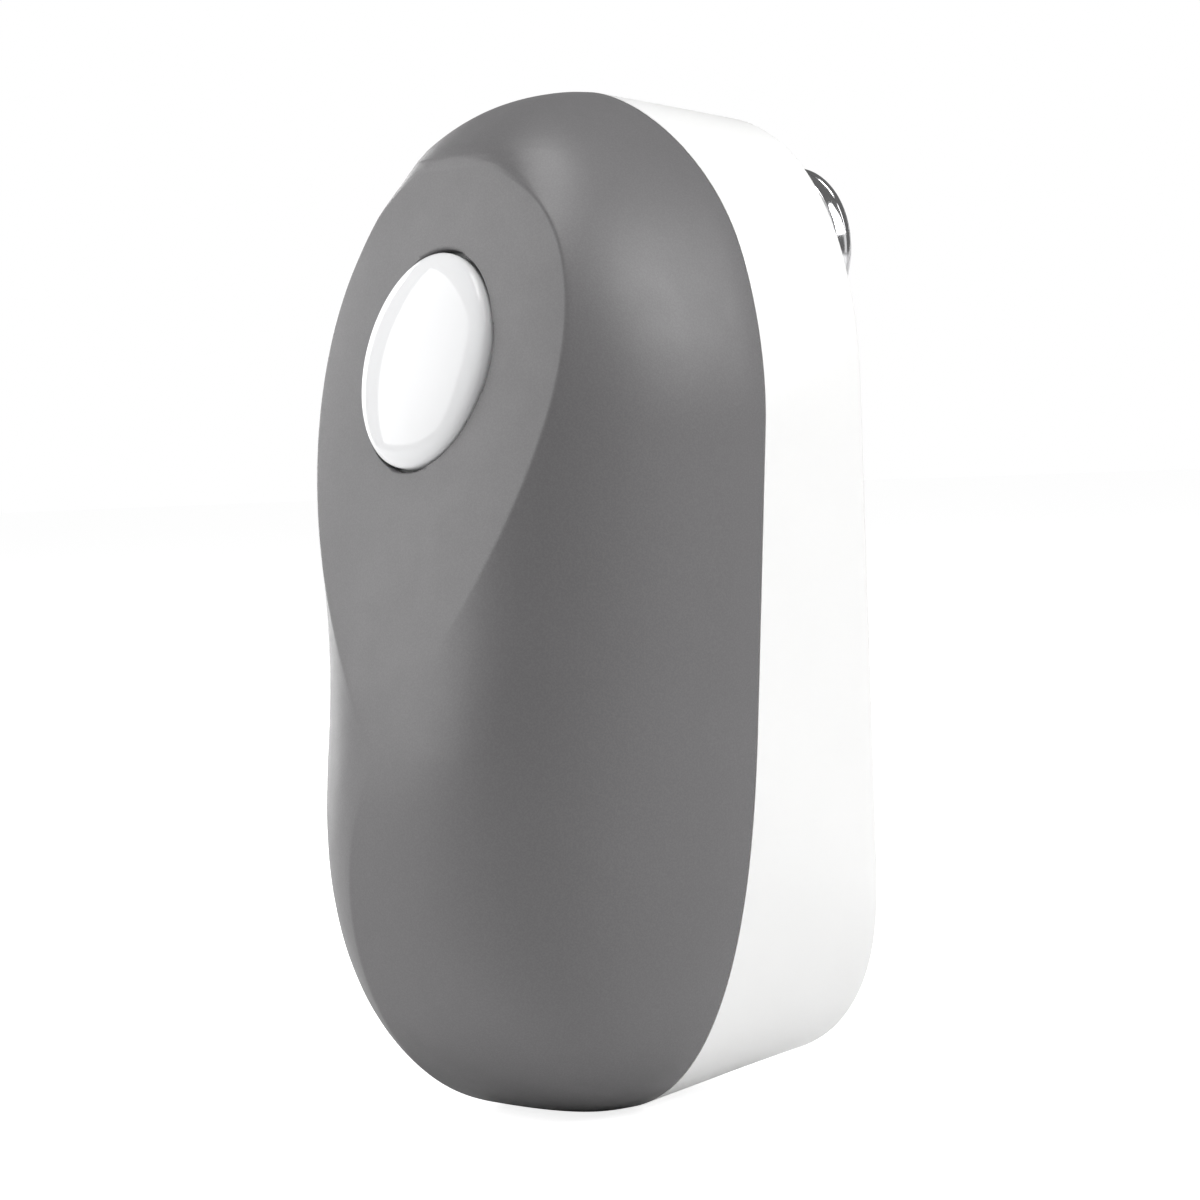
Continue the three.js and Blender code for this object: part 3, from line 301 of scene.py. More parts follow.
class Nodes:
    """One material's node tree, with short calls to add and join nodes."""

    def __init__(self, name: str) -> None:
        """Starts a material with a Principled shader."""
        self.material = bpy.data.materials.new(name)
        self.material.use_nodes = True
        self.tree = self.material.node_tree
        self.shader = self.tree.nodes["Principled BSDF"]

    def add(self, kind: str, inputs: dict[str, object] | None = None, **settings: object) -> bpy.types.Node:
        """Adds a node.

        Args:
            kind: the node's type name.
            inputs: values or output sockets for its inputs.
            settings: the node's own properties.

        Returns:
            The new node.
        """
        node = self.tree.nodes.new(kind)
        for name, value in settings.items():
            setattr(node, name, value)
        for name, value in (inputs or {}).items():
            self.feed(node, name, value)
        return node

    def feed(self, node: bpy.types.Node, name: str | int, value: object) -> None:
        """Sets an input to a value, or links it when the value is an output socket."""
        if isinstance(value, Socket):
            self.tree.links.new(value, node.inputs[name])
        else:
            node.inputs[name].default_value = value

    def coordinates(self, centre: Sequence[float] = (0, 0, 0)) -> Socket:
        """Object coordinates, counted from a centre."""
        source = self.add("ShaderNodeTexCoord").outputs["Object"]
        mapping = self.add("ShaderNodeMapping", {"Vector": source, "Location": [-c for c in centre]})
        return mapping.outputs["Vector"]

    def noise(self, vector: Socket, scale: float, detail: float = 2.0,
              roughness: float = 0.5) -> Socket:
        """Noise with a given number of grains per metre."""
        node = self.add("ShaderNodeTexNoise", {"Vector": vector, "Scale": scale, "Detail": detail,
                                               "Roughness": roughness})
        return node.outputs["Fac"]

    def between(self, source: Socket, low: float, high: float,
                from_low: float = 0.3, from_high: float = 0.7) -> Socket:
        """Stretches a value to run from low to high."""
        node = self.add("ShaderNodeMapRange", {"Value": source, "From Min": from_low, "From Max": from_high,
                                               "To Min": low, "To Max": high})
        return node.outputs["Result"]

    def mixed(self, factor: Socket, first: Sequence[float],
              second: Sequence[float]) -> Socket:
        """A colour between two colours."""
        node = self.add("ShaderNodeMix", data_type="RGBA")
        self.feed(node, 0, factor)
        self.feed(node, 6, (*first, 1.0))
        self.feed(node, 7, (*second, 1.0))
        return node.outputs[2]

    def bump(self, height: Socket, depth: float) -> Socket:
        """Raises the surface by a height pattern."""
        node = self.add("ShaderNodeBump", {"Height": height, "Distance": depth, "Strength": 1.0})
        return node.outputs["Normal"]


def tone(colour: Sequence[float], factor: float) -> tuple[float, ...]:
    """A colour made lighter or darker."""
    return tuple(min(channel * factor, 1.0) for channel in colour)


@dataclass(frozen=True)
class Plastic:
    """Moulded plastic: its colour drifts a little, and its skin has a fine grain."""

    name: str
    colour: Colour
    roughness: float = 0.4
    grain: float = 0.012 * MM
    grain_size: float = 0.35 * MM
    drift: float = 0.03
    speckle: float = 0.0
    coat: float = 0.0
    specular: float = 0.5

    def make(self) -> Material:
        """Builds the material."""
        nodes = Nodes(self.name)
        place = nodes.coordinates()
        cloud = nodes.noise(place, 38.0, 3.0)
        colour = nodes.mixed(nodes.between(cloud, 0.0, 1.0), tone(self.colour, 1 - self.drift),
                             tone(self.colour, 1 + self.drift))
        grains = nodes.noise(place, 1 / self.grain_size, 3.0, 0.6)
        if self.speckle:
            dots = nodes.between(grains, 0.0, 1.0, 0.44, 0.6)
            node = nodes.add("ShaderNodeMix", data_type="RGBA", blend_type="MULTIPLY")
            nodes.feed(node, 0, self.speckle)
            nodes.feed(node, 6, colour)
            ramp = nodes.mixed(dots, (0.82, 0.82, 0.82), (1.0, 1.0, 1.0))
            nodes.feed(node, 7, ramp)
            colour = node.outputs[2]
        nodes.feed(nodes.shader, "Base Color", colour)
        rough = nodes.between(nodes.noise(place, 210.0, 2.0), self.roughness * 0.94, self.roughness * 1.06)
        nodes.feed(nodes.shader, "Roughness", rough)
        nodes.feed(nodes.shader, "Normal", nodes.bump(grains, self.grain))
        nodes.shader.inputs["Specular IOR Level"].default_value = self.specular
        nodes.shader.inputs["Coat Weight"].default_value = self.coat
        nodes.shader.inputs["Coat Roughness"].default_value = 0.04
        return nodes.material


class Lay(Enum):
    """How the tool marks of a metal surface run."""

    PLAIN = "plain"
    TURNED = "turned"
    DRAWN = "drawn"


@dataclass(frozen=True)
class Metal:
    """Bare metal with the marks of its making."""

    name: str
    colour: Colour
    roughness: float = 0.25
    lay: Lay = Lay.PLAIN
    centre: tuple[float, float, float] = (0.0, 0.0, 0.0)
    marks: float = 0.006 * MM
    pitch: float = 0.25 * MM

    def make(self) -> Material:
        """Builds the material."""
        nodes = Nodes(self.name)
        place = nodes.coordinates(self.centre)
        cloud = nodes.noise(place, 160.0, 3.0)
        colour = nodes.mixed(nodes.between(cloud, 0.0, 1.0), tone(self.colour, 0.94), tone(self.colour, 1.04))
        nodes.feed(nodes.shader, "Base Color", colour)
        nodes.shader.inputs["Metallic"].default_value = 1.0
        fine = nodes.noise(place, 1 / self.pitch, 2.0)
        if self.lay is Lay.TURNED:
            wave = nodes.add("ShaderNodeTexWave", {"Vector": place, "Scale": 1 / (self.pitch * 20),
                                                   "Distortion": 0.6, "Detail": 2.0},
                             wave_type="RINGS", rings_direction="Y")
            fine = wave.outputs["Fac"]
        elif self.lay is Lay.DRAWN:
            stretched = nodes.add("ShaderNodeMapping", {"Vector": place, "Scale": (1.0, 0.04, 1.0)})
            fine = nodes.noise(stretched.outputs["Vector"], 1 / self.pitch, 2.0)
        rough = nodes.between(fine, self.roughness * 0.8, self.roughness * 1.25)
        nodes.feed(nodes.shader, "Roughness", rough)
        nodes.feed(nodes.shader, "Normal", nodes.bump(fine, self.marks))
        return nodes.material


@dataclass(frozen=True)
class Band:
    """A stretch of a banded sleeve, from one height to the next."""

    start: float
    colour: Colour
    metallic: float


@dataclass(frozen=True)
class Sleeve:
    """A cell's printed sleeve: coloured bands along Z and a bare metal end."""

    name: str
    bands: tuple[Band, ...]

    def make(self) -> Material:
        """Builds the material."""
        nodes = Nodes(self.name)
        place = nodes.coordinates()
        split = nodes.add("ShaderNodeSeparateXYZ", {"Vector": place})
        height = split.outputs["Z"]
        colour: Socket | None = None
        metal: Socket | None = None
        for below, band in zip((self.bands[0], *self.bands), self.bands):
            over = nodes.add("ShaderNodeMath", {0: height, 1: band.start}, operation="GREATER_THAN")
            step = over.outputs[0]
            paint = nodes.add("ShaderNodeMix", data_type="RGBA")
            nodes.feed(paint, 0, step)
            nodes.feed(paint, 6, (*below.colour, 1.0) if colour is None else colour)
            nodes.feed(paint, 7, (*band.colour, 1.0))
            colour = paint.outputs[2]
            sheen = nodes.add("ShaderNodeMix", data_type="FLOAT")
            nodes.feed(sheen, 0, step)
            nodes.feed(sheen, 2, below.metallic if metal is None else metal)
            nodes.feed(sheen, 3, band.metallic)
            metal = sheen.outputs[0]
        nodes.feed(nodes.shader, "Base Color", colour)
        nodes.feed(nodes.shader, "Metallic", metal)
        fine = nodes.noise(place, 900.0, 2.0)
        nodes.feed(nodes.shader, "Roughness", nodes.between(fine, 0.22, 0.34))
        nodes.feed(nodes.shader, "Normal", nodes.bump(fine, 0.004 * MM))
        return nodes.material


def fit_in(piece: Object, material: Material, node: str, body: str, slot: str) -> None:
    """Gives a piece its finish and its place in the assembly.

    Args:
        piece: the finished object.
        material: its finish.
        node: the node of the mechanical model that it stands for.
        body: the moving body that carries it.
        slot: not used.
    """
    piece.data.materials.clear()
    piece.data.materials.append(material)
    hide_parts(node)
    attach(piece, body)


# ---- Form of the body ----


def superellipse(t: Array, power: float | Array) -> Array:
    """Height of a unit superellipse over t, 1 at t = 0 and 0 at t = 1."""
    inside = np.clip(t, 0.0, 1.0)
    return np.clip(1 - inside ** power, 0.0, None) ** (1 / power)


@dataclass(frozen=True)
class Rim:
    """A closed outline round the body: a straight middle between a head arc and a tail arc."""

    half_width: float
    head: float
    tail: float
    head_end: float
    tail_end: float
    head_power: float
    tail_power: float
    arc_share: float = 0.8

    def width_at(self, z: Array) -> Array:
        """Half-width of the outline at height z."""
        up = superellipse((z - self.head) / (self.head_end - self.head), self.head_power)
        down = superellipse((self.tail - z) / (self.tail - self.tail_end), self.tail_power)
        return self.half_width * np.where(z > self.head, up, np.where(z < self.tail, down, 1.0))

    def inset(self, amount: float) -> "Rim":
        """The outline moved inwards."""
        return replace(self, half_width=self.half_width - amount, head_end=self.head_end - amount,
                       tail_end=self.tail_end + amount)

    def towards(self, other: "Rim", t: float | Array) -> "Rim":
        """The outline part of the way to another one."""
        pairs = zip(vars(self).values(), vars(other).values())
        return Rim(*(a + (b - a) * t for a, b in pairs))

    def around(self, turn: Array) -> tuple[Array, Array]:
        """Points on the outline.

        Args:
            turn: 0 to 1 once round, starting on the right of the head arc.

        Returns:
            Their x and z.
        """
        at_head = turn < 0.5
        half = np.where(at_head, turn, turn - 0.5) * 2
        arc = np.clip(half / self.arc_share, 0, 1) * math.pi
        straight = np.clip((half - self.arc_share) / (1 - self.arc_share), 0, 1)
        power = np.where(at_head, self.head_power, self.tail_power)
        centre = np.where(at_head, self.head, self.tail)
        end = np.where(at_head, self.head_end, self.tail_end)
        other = np.where(at_head, self.tail, self.head)
        side = np.where(at_head, 1.0, -1.0)
        cosine = np.round(np.cos(arc), 12)
        across = side * np.sign(cosine) * np.abs(cosine) ** (2 / power)
        along = np.clip(np.round(np.sin(arc), 12), 0, None) ** (2 / power)
        return self.half_width * across, centre + (end - centre) * along + (other - centre) * straight


@dataclass(frozen=True)
class BodyForm:
    """The outside of the two shells as formulas, sized from the mechanical model."""

    length: float
    half_width: float
    underside: float
    seam_at_foot: float = 4.0 * MM
    button_from_head: float = 47.0 * MM
    seam_lean: float = 0.082
    curl: float = 7.8
    curl_from_head: float = 30.0 * MM
    foot_cut: float = 0.8 * MM
    seam_head: float = 60.3 * MM
    seam_tail: float = 73.26 * MM
    seam_powers: Pair = (1.8, 2.65)
    back_head: float = 54.54 * MM
    back_tail: float = 41.94 * MM
    back_powers: Pair = (2.25, 2.55)
    back_inset: tuple[float, float, float] = (2.8 * MM, 4 * MM, 4.7 * MM)
    crest_height: float = 50.4 * MM
    waist: float = 66.0 * MM
    panel_top_from_head: float = 11.8 * MM
    panel_half_width: float = 33.0 * MM
    panel_slope: float = 0.0764
    panel_bend: float = 0.8
    panel_crown: float = 3.3
    panel_peak: float = 0.6513
    panel_taper: float = 0.535
    widest_edge: float = 0.97
    waist_ease: float = 14.0 * MM
    crest_swing: float = 10.6 * MM
    crest_reach: float = 16.0 * MM
    crest_ease: float = 1.2
    crease_round: float = 0.4 * MM
    top_round: float = 2.4 * MM
    soft_top: float = 9.0 * MM
    head_blend: float = 32.0 * MM
    dome_from_head: float = 30.0 * MM
    head_power: float = 2.2
    foot_power: float = 2.3
    left_power: float = 2.1
    right_power: float = 3.07

    @property
    def seam_rim(self) -> Rim:
        """Outline where the two shells meet."""
        return Rim(self.half_width, self.length - self.seam_head, self.seam_tail, self.length,
                   -self.foot_cut, *self.seam_powers)

    @property
    def back_rim(self) -> Rim:
        """Outline of the flat underside."""
        side, head, tail = self.back_inset
        return Rim(self.half_width - side, self.length - self.back_head, self.back_tail,
                   self.length - head, tail, *self.back_powers)

    @property
    def panel_top(self) -> float:
        """Height where the panel ends below the head."""
        return self.length - self.panel_top_from_head

    def seam(self, z: Array) -> Array:
        """Depth of the joint at height z: a leaning plane that curls forwards at the head."""
        curl = np.clip(z - (self.length - self.curl_from_head), 0.0, None)
        return self.seam_at_foot + self.seam_lean * z - self.curl * curl * curl

    def panel_edge(self, z: Array) -> Array:
        """Half-width of the drop-shaped panel: pointed at the waist, round at the head."""
        u = np.clip((z - self.waist) / (self.panel_top - self.waist), 0.0, 1.0)
        peak = self.panel_peak * (1 - self.panel_peak) ** self.panel_taper
        return self.panel_half_width * u * (1 - u) ** self.panel_taper / peak

    def crest(self, z: Array) -> Array:
        """Sideways place of the crest, which swings to the left of the middle below the waist."""
        below = np.clip(self.waist - z, 0.0, None)
        return -self.crest_swing * (1 - np.exp(-((below / self.crest_reach) ** self.crest_ease)))

    def panel(self, x: Array, z: Array) -> Array:
        """Height of the panel above the joint plane."""
        t = z - self.waist
        ease = self.waist_ease
        ramp = np.where(t > ease, t, np.clip(t + ease, 0.0, None) ** 2 / (4 * ease))
        rise = np.clip(t, 0.0, None)
        return (self.crest_height - self.panel_slope * ramp - self.panel_bend * rise * rise
                - self.panel_crown * x * x)

    def creases(self, z: Array) -> tuple[Array, Array, Array]:
        """Half-width of the cover, and the places of its left and right crease.

        Args:
            z: places along the body.

        Returns:
            Half-width, left crease and right crease at each place; below the waist the two are one crest.
        """
        width = np.maximum(self.seam_rim.width_at(z), TINY)
        above = z >= self.waist
        edge = np.minimum(self.panel_edge(z), width * self.widest_edge)
        right = np.where(above, edge, np.maximum(self.crest(z), -width * self.widest_edge))
        return width, np.where(above, -edge, right), right

    def sharp_height(self, x: Array, z: Array) -> Array:
        """Height of the cover above the joint plane, with its creases still sharp."""
        width, left, right = self.creases(z)
        above = z >= self.waist
        tail = superellipse((self.waist - z) / (self.waist + self.foot_cut), self.foot_power)
        start = self.length - self.dome_from_head
        at_panel = (self.panel_top - start) / self.dome_from_head
        head = np.where(z > self.panel_top,
                        superellipse((z - start) / self.dome_from_head, self.head_power)
                        / superellipse(np.array(at_panel), self.head_power), 1.0)
        level = self.panel(np.where(above, right, 0.0), z) * tail * head
        near_head = np.clip((z - self.panel_top + self.head_blend) / self.head_blend, 0.0, 1.0)
        left_power = self.left_power + (self.right_power - self.left_power) * near_head * near_head
        on_left = level * superellipse(-x / width, left_power) / superellipse(-left / width, left_power)
        on_right = np.where(
            above,
            level * superellipse(x / width, self.right_power) / superellipse(right / width, self.right_power),
            level * superellipse((x - right) / (width - right), self.right_power),
        )
        middle = np.where(above, self.panel(x, z) * head, level)
        return np.where(x < left, on_left, np.where(x > right, on_right, middle))

    def height(self, x: Array, z: Array) -> Array:
        """Height of the cover above the joint plane, with its creases softened.

        Args:
            x: places across.
            z: places along the body.

        Returns:
            The height at each place.
        """
        width = np.maximum(self.seam_rim.width_at(z), TINY)
        at_top = np.clip(1 - np.abs(z - self.panel_top) / self.soft_top, 0.0, 1.0)
        soft = self.crease_round + (self.top_round - self.crease_round) * at_top
        side = np.minimum(soft, np.clip(width - np.abs(x), 0.0, None) * 0.3)
        ends = np.minimum(soft, np.clip(np.minimum(self.length - z, z), 0.0, None) * 0.3)
        total = np.zeros_like(x * 1.0)
        for along, share_z in ((-1, 0.25), (0, 0.5), (1, 0.25)):
            there = z + along * ends
            scale = self.seam_rim.width_at(there) / width
            for across, share_x in ((-1, 0.25), (0, 0.5), (1, 0.25)):
                total = total + share_x * share_z * self.sharp_height((x + across * side) * scale, there)
        return np.clip(total, 0.0, None)

    def button_frame(self) -> Matrix:
        """Frame on the panel at the button, with -Y square to the panel."""
        button_height = self.length - self.button_from_head
        bend = 2 * self.panel_bend * (button_height - self.waist)
        lean = math.atan(self.seam_lean + self.panel_slope + bend)
        depth = self.seam_at_foot + self.seam_lean * button_height - float(
            self.panel(np.array(0.0), np.array(button_height)))
        return Matrix.Translation((0, depth, button_height)) @ Matrix.Rotation(-lean, 4, "X")


# ---- Shells ----


@dataclass
class TopCover:
    """Grey cover: one sheet laid on the body's form, with an oval hole for the button."""

    form: BodyForm
    button: Matrix
    hole_half_width: float = 17.0 * MM
    hole_half_length: float = 19.8 * MM
    hole_margin: float = 4.5 * MM
    edge_margin: float = 6.0 * MM
    wall: float = 2.0 * MM
    seam_gap: float = 0.12 * MM
    hole_round: float = 0.45 * MM
    seam_round: float = 0.25 * MM
    side_columns: int = 20
    crease_columns: int = 8
    panel_columns: int = 22
    crease_reach: float = 1.8 * MM
    rows: int = 280
    foot_rows: int = 4
    rings: int = 6
    piece: Object | None = field(default=None, init=False)

    def columns(self, u: Array, z: Array) -> Array:
        """Sideways places of the sheet's columns, which follow the panel's edges and the crest."""
        width, left, right = self.form.creases(z)
        middle = (left + right) / 2
        spread = np.minimum(self.crease_reach, (right - left) / 2)
        knots = [-width, left - np.minimum(self.crease_reach, (left + width) * 0.4), left, left + spread,
                 right - spread, right, right + np.minimum(self.crease_reach, (width - right) * 0.4), width]
        counts = [self.side_columns, self.crease_columns, self.crease_columns, self.panel_columns,
                  self.crease_columns, self.crease_columns, self.side_columns]
        place = np.full_like(u, 0.0) + middle
        start = 0.0
        last = len(counts) - 1
        for i, count in enumerate(counts):
            t = np.clip(u * sum(counts) - start, 0, count) / count
            if i == 0:
                t = 1 - np.cos(t * math.pi / 2)
            elif i == last:
                t = np.sin(t * math.pi / 2)
            here = (u * sum(counts) >= start - 1e-6) & (u * sum(counts) <= start + count + 1e-6)
            place = np.where(here, knots[i] + (knots[i + 1] - knots[i]) * t, place)
            start += count
        return place

    def place(self, u: Array, v: Array) -> Array:
        """Lays the sheet on the form. The first rows close the flat foot."""
        row = v * (self.rows + self.foot_rows) - self.foot_rows
        z = self.form.length * (1 - np.cos(np.clip(row / self.rows, 0, 1) * math.pi)) / 2
        rise = np.clip((row + self.foot_rows) / self.foot_rows, 0, 1)
        x = self.columns(u, z)
        height = self.form.height(x, z) * rise
        return np.stack([x, self.form.seam(z) - self.seam_gap - height, z], -1)

    def build(self) -> Object:
        """Models the cover.

        Returns:
            The finished shell.
        """
        total = 2 * self.side_columns + 4 * self.crease_columns + self.panel_columns
        piece = Bench.sheet("cover_shell", total, self.rows + self.foot_rows, self.place)
        Bench.tidy(piece)
        self.open_hole(piece)
        Bench.modify(piece, "SOLIDIFY", thickness=self.wall, offset=-1.0, use_even_offset=False)
        self.round_edges(piece)
        Bench.smooth(piece, 40)
        self.piece = piece
        return piece

    def open_hole(self, piece: Object) -> None:
        """Takes out the faces under the button and draws the gap's edge in to an oval."""
        to_button = self.button.inverted()
        reach_x = self.hole_half_width + self.hole_margin
        reach_z = self.hole_half_length + self.hole_margin
        with Bench.editing(piece, "FACE"):
            def near(place: Vector) -> bool:
                local = to_button @ place
                return math.hypot(local.x / reach_x, local.z / reach_z) < 1 and local.y < 20 * MM
            Bench.pick(piece, "FACE", near)
            bpy.ops.mesh.delete(type="FACE")
            bpy.ops.mesh.select_mode(type="EDGE")
            self.pick_hole(piece, to_button, reach_x + self.edge_margin)
            for ring in range(1, self.rings + 1):
                bpy.ops.mesh.extrude_edges_move()
                self.draw_in(piece, to_button, 1 / (self.rings + 1 - ring))
        self.even_normals(piece)

    @staticmethod
    def even_normals(piece: Object) -> None:
        """Turns all faces to the outside of the open sheet."""
        with Bench.editing(piece, "FACE"):
            bpy.ops.mesh.select_all(action="SELECT")
            bpy.ops.mesh.normals_make_consistent(inside=False)
        front = max(piece.data.polygons, key=lambda face: -face.center.y)
        if front.normal.y > 0:
            with Bench.editing(piece, "FACE"):
                bpy.ops.mesh.select_all(action="SELECT")
                bpy.ops.mesh.flip_normals()

    @staticmethod
    def pick_hole(piece: Object, to_button: Matrix, reach: float) -> None:
        """Selects the open edge round the button."""
        bpy.ops.mesh.select_all(action="DESELECT")
        bpy.ops.mesh.select_non_manifold(extend=False, use_wire=False, use_boundary=True,
                                         use_multi_face=False, use_non_contiguous=False, use_verts=False)
        bpy.ops.object.mode_set(mode="OBJECT")
        mesh = piece.data
        for edge in mesh.edges:
            middle = (mesh.vertices[edge.vertices[0]].co + mesh.vertices[edge.vertices[1]].co) / 2
            local = to_button @ middle
            edge.select = edge.select and math.hypot(local.x, local.z) < reach * 1.4 and local.y < 12 * MM
        for vertex in mesh.vertices:
            vertex.select = False
        for edge in mesh.edges:
            if edge.select:
                for i in edge.vertices:
                    mesh.vertices[i].select = True
        bpy.ops.object.mode_set(mode="EDIT")

    def draw_in(self, piece: Object, to_button: Matrix, share: float) -> None:
        """Moves the selected ring a share of the way to the oval, and back on to the form."""
        bpy.ops.object.mode_set(mode="OBJECT")
        back = to_button.inverted()
        for vertex in piece.data.vertices:
            if not vertex.select:
                continue
            local = to_button @ vertex.co
            angle = math.atan2(local.z / self.hole_half_length, local.x / self.hole_half_width)
            goal = Vector((self.hole_half_width * math.cos(angle), 0,
                           self.hole_half_length * math.sin(angle)))
            target = local.lerp(goal, share)
            spot = back @ Vector((target.x, 0, target.z))
            height = float(self.form.height(np.array(spot.x), np.array(spot.z)))
            vertex.co = (spot.x, self.form.seam(spot.z) - self.seam_gap - height, spot.z)
        bpy.ops.object.mode_set(mode="EDIT")

    def round_edges(self, piece: Object) -> None:
        """Rounds the edge of the button hole and the edge along the joint."""
        to_button = self.button.inverted()
        for is_edge, width in ((self.on_hole_edge(to_button), self.hole_round),
                               (self.on_seam_edge(), self.seam_round)):
            with Bench.editing(piece, "EDGE"):
                Bench.pick(piece, "EDGE", is_edge)
                bpy.ops.mesh.bevel(offset=width, segments=3, affect="EDGES", clamp_overlap=True)

    def on_hole_edge(self, to_button: Matrix) -> Callable[[Vector], bool]:
        """Test for a point on the outer edge of the button hole."""
        def test(place: Vector) -> bool:
            local = to_button @ place
            ring = math.hypot(local.x / self.hole_half_width, local.z / self.hole_half_length)
            if abs(ring - 1) > 0.003 or local.y > 12 * MM:
                return False
            height = float(self.form.height(np.array(place.x), np.array(place.z)))
            gap = place.y - (self.form.seam(place.z) - self.seam_gap - height)
            return abs(gap) < 0.06 * MM
        return test

    def on_seam_edge(self) -> Callable[[Vector], bool]:
        """Test for a point on the outer edge along the joint."""
        def test(place: Vector) -> bool:
            if abs(place.y - (self.form.seam(place.z) - self.seam_gap)) > 0.02 * MM:
                return False
            width = float(self.form.seam_rim.width_at(np.array(max(place.z, 0.0))))
            return abs(abs(place.x) - width) < 0.05 * MM or place.z < TINY
        return test

    def dress(self, material: Material) -> None:
        """Gives the cover its finish and its place in the assembly."""
        fit_in(self.piece, material, "top_cover", "body", "grey_plastic")


@dataclass
class BaseShell:
    """White base: a leaning wall with a flat back, its openings, the rib and the magnet's ring."""

    form: BodyForm
    door: Sequence[Sequence[float]]
    screws: Sequence[Pair]
    shaft: Pair
    cutter: Pair
    magnet: Pair
    magnet_radius: float
    wall: float = 2.2 * MM
    seam_gap: float = 0.12 * MM
    back_round: float = 0.7 * MM
    rib_half_length: float = 12.0 * MM
    rib_low: float = 23.1 * MM
    rib_high: float = 19.9 * MM
    rib_height: float = 3.6 * MM
    rib_round: float = 1.2 * MM
    well_radius: float = 3.1 * MM
    well_depth: float = 3.4 * MM
    well_flare: float = 0.3 * MM
    screw_bore: float = 1.7 * MM
    boss_radius: float = 3.5 * MM
    shaft_bore: float = 3.7 * MM
    turns: int = 240
    rows: int = 14
    piece: Object | None = field(default=None, init=False)

    def place(self, u: Array, v: Array) -> Array:
        """Lays the wall between the joint and the back."""
        x, z = self.form.seam_rim.towards(self.form.back_rim, v).around(u)
        z = np.clip(z, 0.0, None)
        y = (self.form.seam(z) + self.seam_gap) * (1 - v) + self.form.underside * v
        return np.stack([x, y, z], -1)

    def build(self) -> Object:
        """Models the base.

        Returns:
            The finished shell.
        """
        piece = Bench.sheet("base_wall", self.turns, self.rows, self.place)
        back = self.form.underside
        Bench.tidy(piece)
        with Bench.editing(piece, "EDGE"):
            Bench.pick(piece, "EDGE", lambda place: place.y > back - TINY)
            bpy.ops.mesh.edge_face_add()
            bpy.ops.mesh.select_all(action="SELECT")
            bpy.ops.mesh.normals_make_consistent(inside=False)
            Bench.pick(piece, "EDGE", lambda place: place.y > back - TINY)
            bpy.ops.mesh.bevel(offset=self.back_round, segments=4, affect="EDGES")
        flat = max(piece.data.polygons, key=lambda face: face.area)
        if flat.normal.y < 0:
            with Bench.editing(piece, "FACE"):
                bpy.ops.mesh.select_all(action="SELECT")
                bpy.ops.mesh.flip_normals()
        Bench.modify(piece, "SOLIDIFY", thickness=self.wall, offset=-1.0, use_even_offset=False)
        Bench.combine(piece, self.lip(), "UNION")
        self.raise_details(piece)
        self.open_holes(piece)
        Bench.tidy(piece, 0.001 * MM)
        Bench.smooth(piece, 35)
        self.piece = piece
        return piece

    def lip(self) -> Object:
        """The thin lip that reaches into the cover behind the joint."""
        rim = self.form.seam_rim.inset(self.wall + 0.1 * MM)

        def place(u: Array, v: Array) -> Array:
            x, z = rim.around(u)
            z = np.clip(z, self.wall, self.form.length - self.wall * 1.6)
            return np.stack([x, self.form.seam(z) + (-1.6 + 4.4 * v) * MM, z], -1)

        lip = Bench.sheet("lip", 160, 2, place)
        Bench.tidy(lip)
        Bench.modify(lip, "SOLIDIFY", thickness=1.0 * MM, offset=0.6, use_even_offset=False)
        return lip

    def raise_details(self, piece: Object) -> None:
        """Adds the rib that rests on the lid and the ring round the magnet."""
        back = self.form.underside
        z = self.cutter[1]
        rib = Bench.block("rib", (-self.rib_half_length, back - MM, z - self.rib_low),
                          (self.rib_half_length, back + self.rib_height, z - self.rib_high))
        with Bench.editing(rib, "EDGE"):
            Bench.pick(rib, "EDGE", lambda place: place.y > back)
            bpy.ops.mesh.bevel(offset=self.rib_round, segments=5, affect="EDGES")
        Bench.combine(piece, rib, "UNION")
        outer = self.magnet_radius + 1.9 * MM
        inner = self.magnet_radius + 0.2 * MM
        ring = Bench.turned("magnet_ring", [
            (outer, back - MM), (outer, back + 1.9 * MM), (outer - 0.2 * MM, back + 2.25 * MM),
            (outer - 0.6 * MM, back + 2.4 * MM), (inner + 0.3 * MM, back + 2.4 * MM),
            (inner, back + 2.1 * MM), (inner, back + 0.2 * MM)], *self.magnet, sides=72)
        Bench.combine(piece, ring, "UNION")

    def open_holes(self, piece: Object) -> None:
        """Cuts the door's opening, the screw wells and the ways through for the shaft and the cutter."""
        back = self.form.underside
        deep = back - self.wall - MM
        (x0, _, z0), (x1, _, z1) = self.door
        rim = 0.3 * MM
        out = back + MM
        door = rounded_plate("door_opening", (x0 - rim, deep, z0 - rim), (x1 + rim, out, z1 + rim), 7 * MM)
        Bench.combine(piece, door, "DIFFERENCE")
        wide = self.well_radius + self.well_flare
        for x, z in self.screws:
            well = Bench.turned("well", [(self.well_radius, back - self.well_depth),
                                         (self.well_radius, back - self.well_flare),
                                         (wide, back), (wide, out)], x, z, 40)
            boss = Bench.rod("boss", self.boss_radius, self.form.seam(z) + 2.3 * MM, back - MM, x, z)
            Bench.combine(piece, boss, "UNION")
            Bench.combine(piece, well, "DIFFERENCE")
            bore = Bench.rod("bore", self.screw_bore, back - 8 * MM, back, x, z)
            Bench.combine(piece, bore, "DIFFERENCE")
        x, z = self.shaft
        Bench.combine(piece, Bench.rod("shaft_way", self.shaft_bore, deep, out, x, z), "DIFFERENCE")
        x, z = self.cutter
        slot = rounded_plate("cutter_way", (x - 6.5 * MM, deep, z - 4.3 * MM),
                             (x + 3.5 * MM, out, z + 4.3 * MM), 3.5 * MM)
        Bench.combine(piece, slot, "DIFFERENCE")

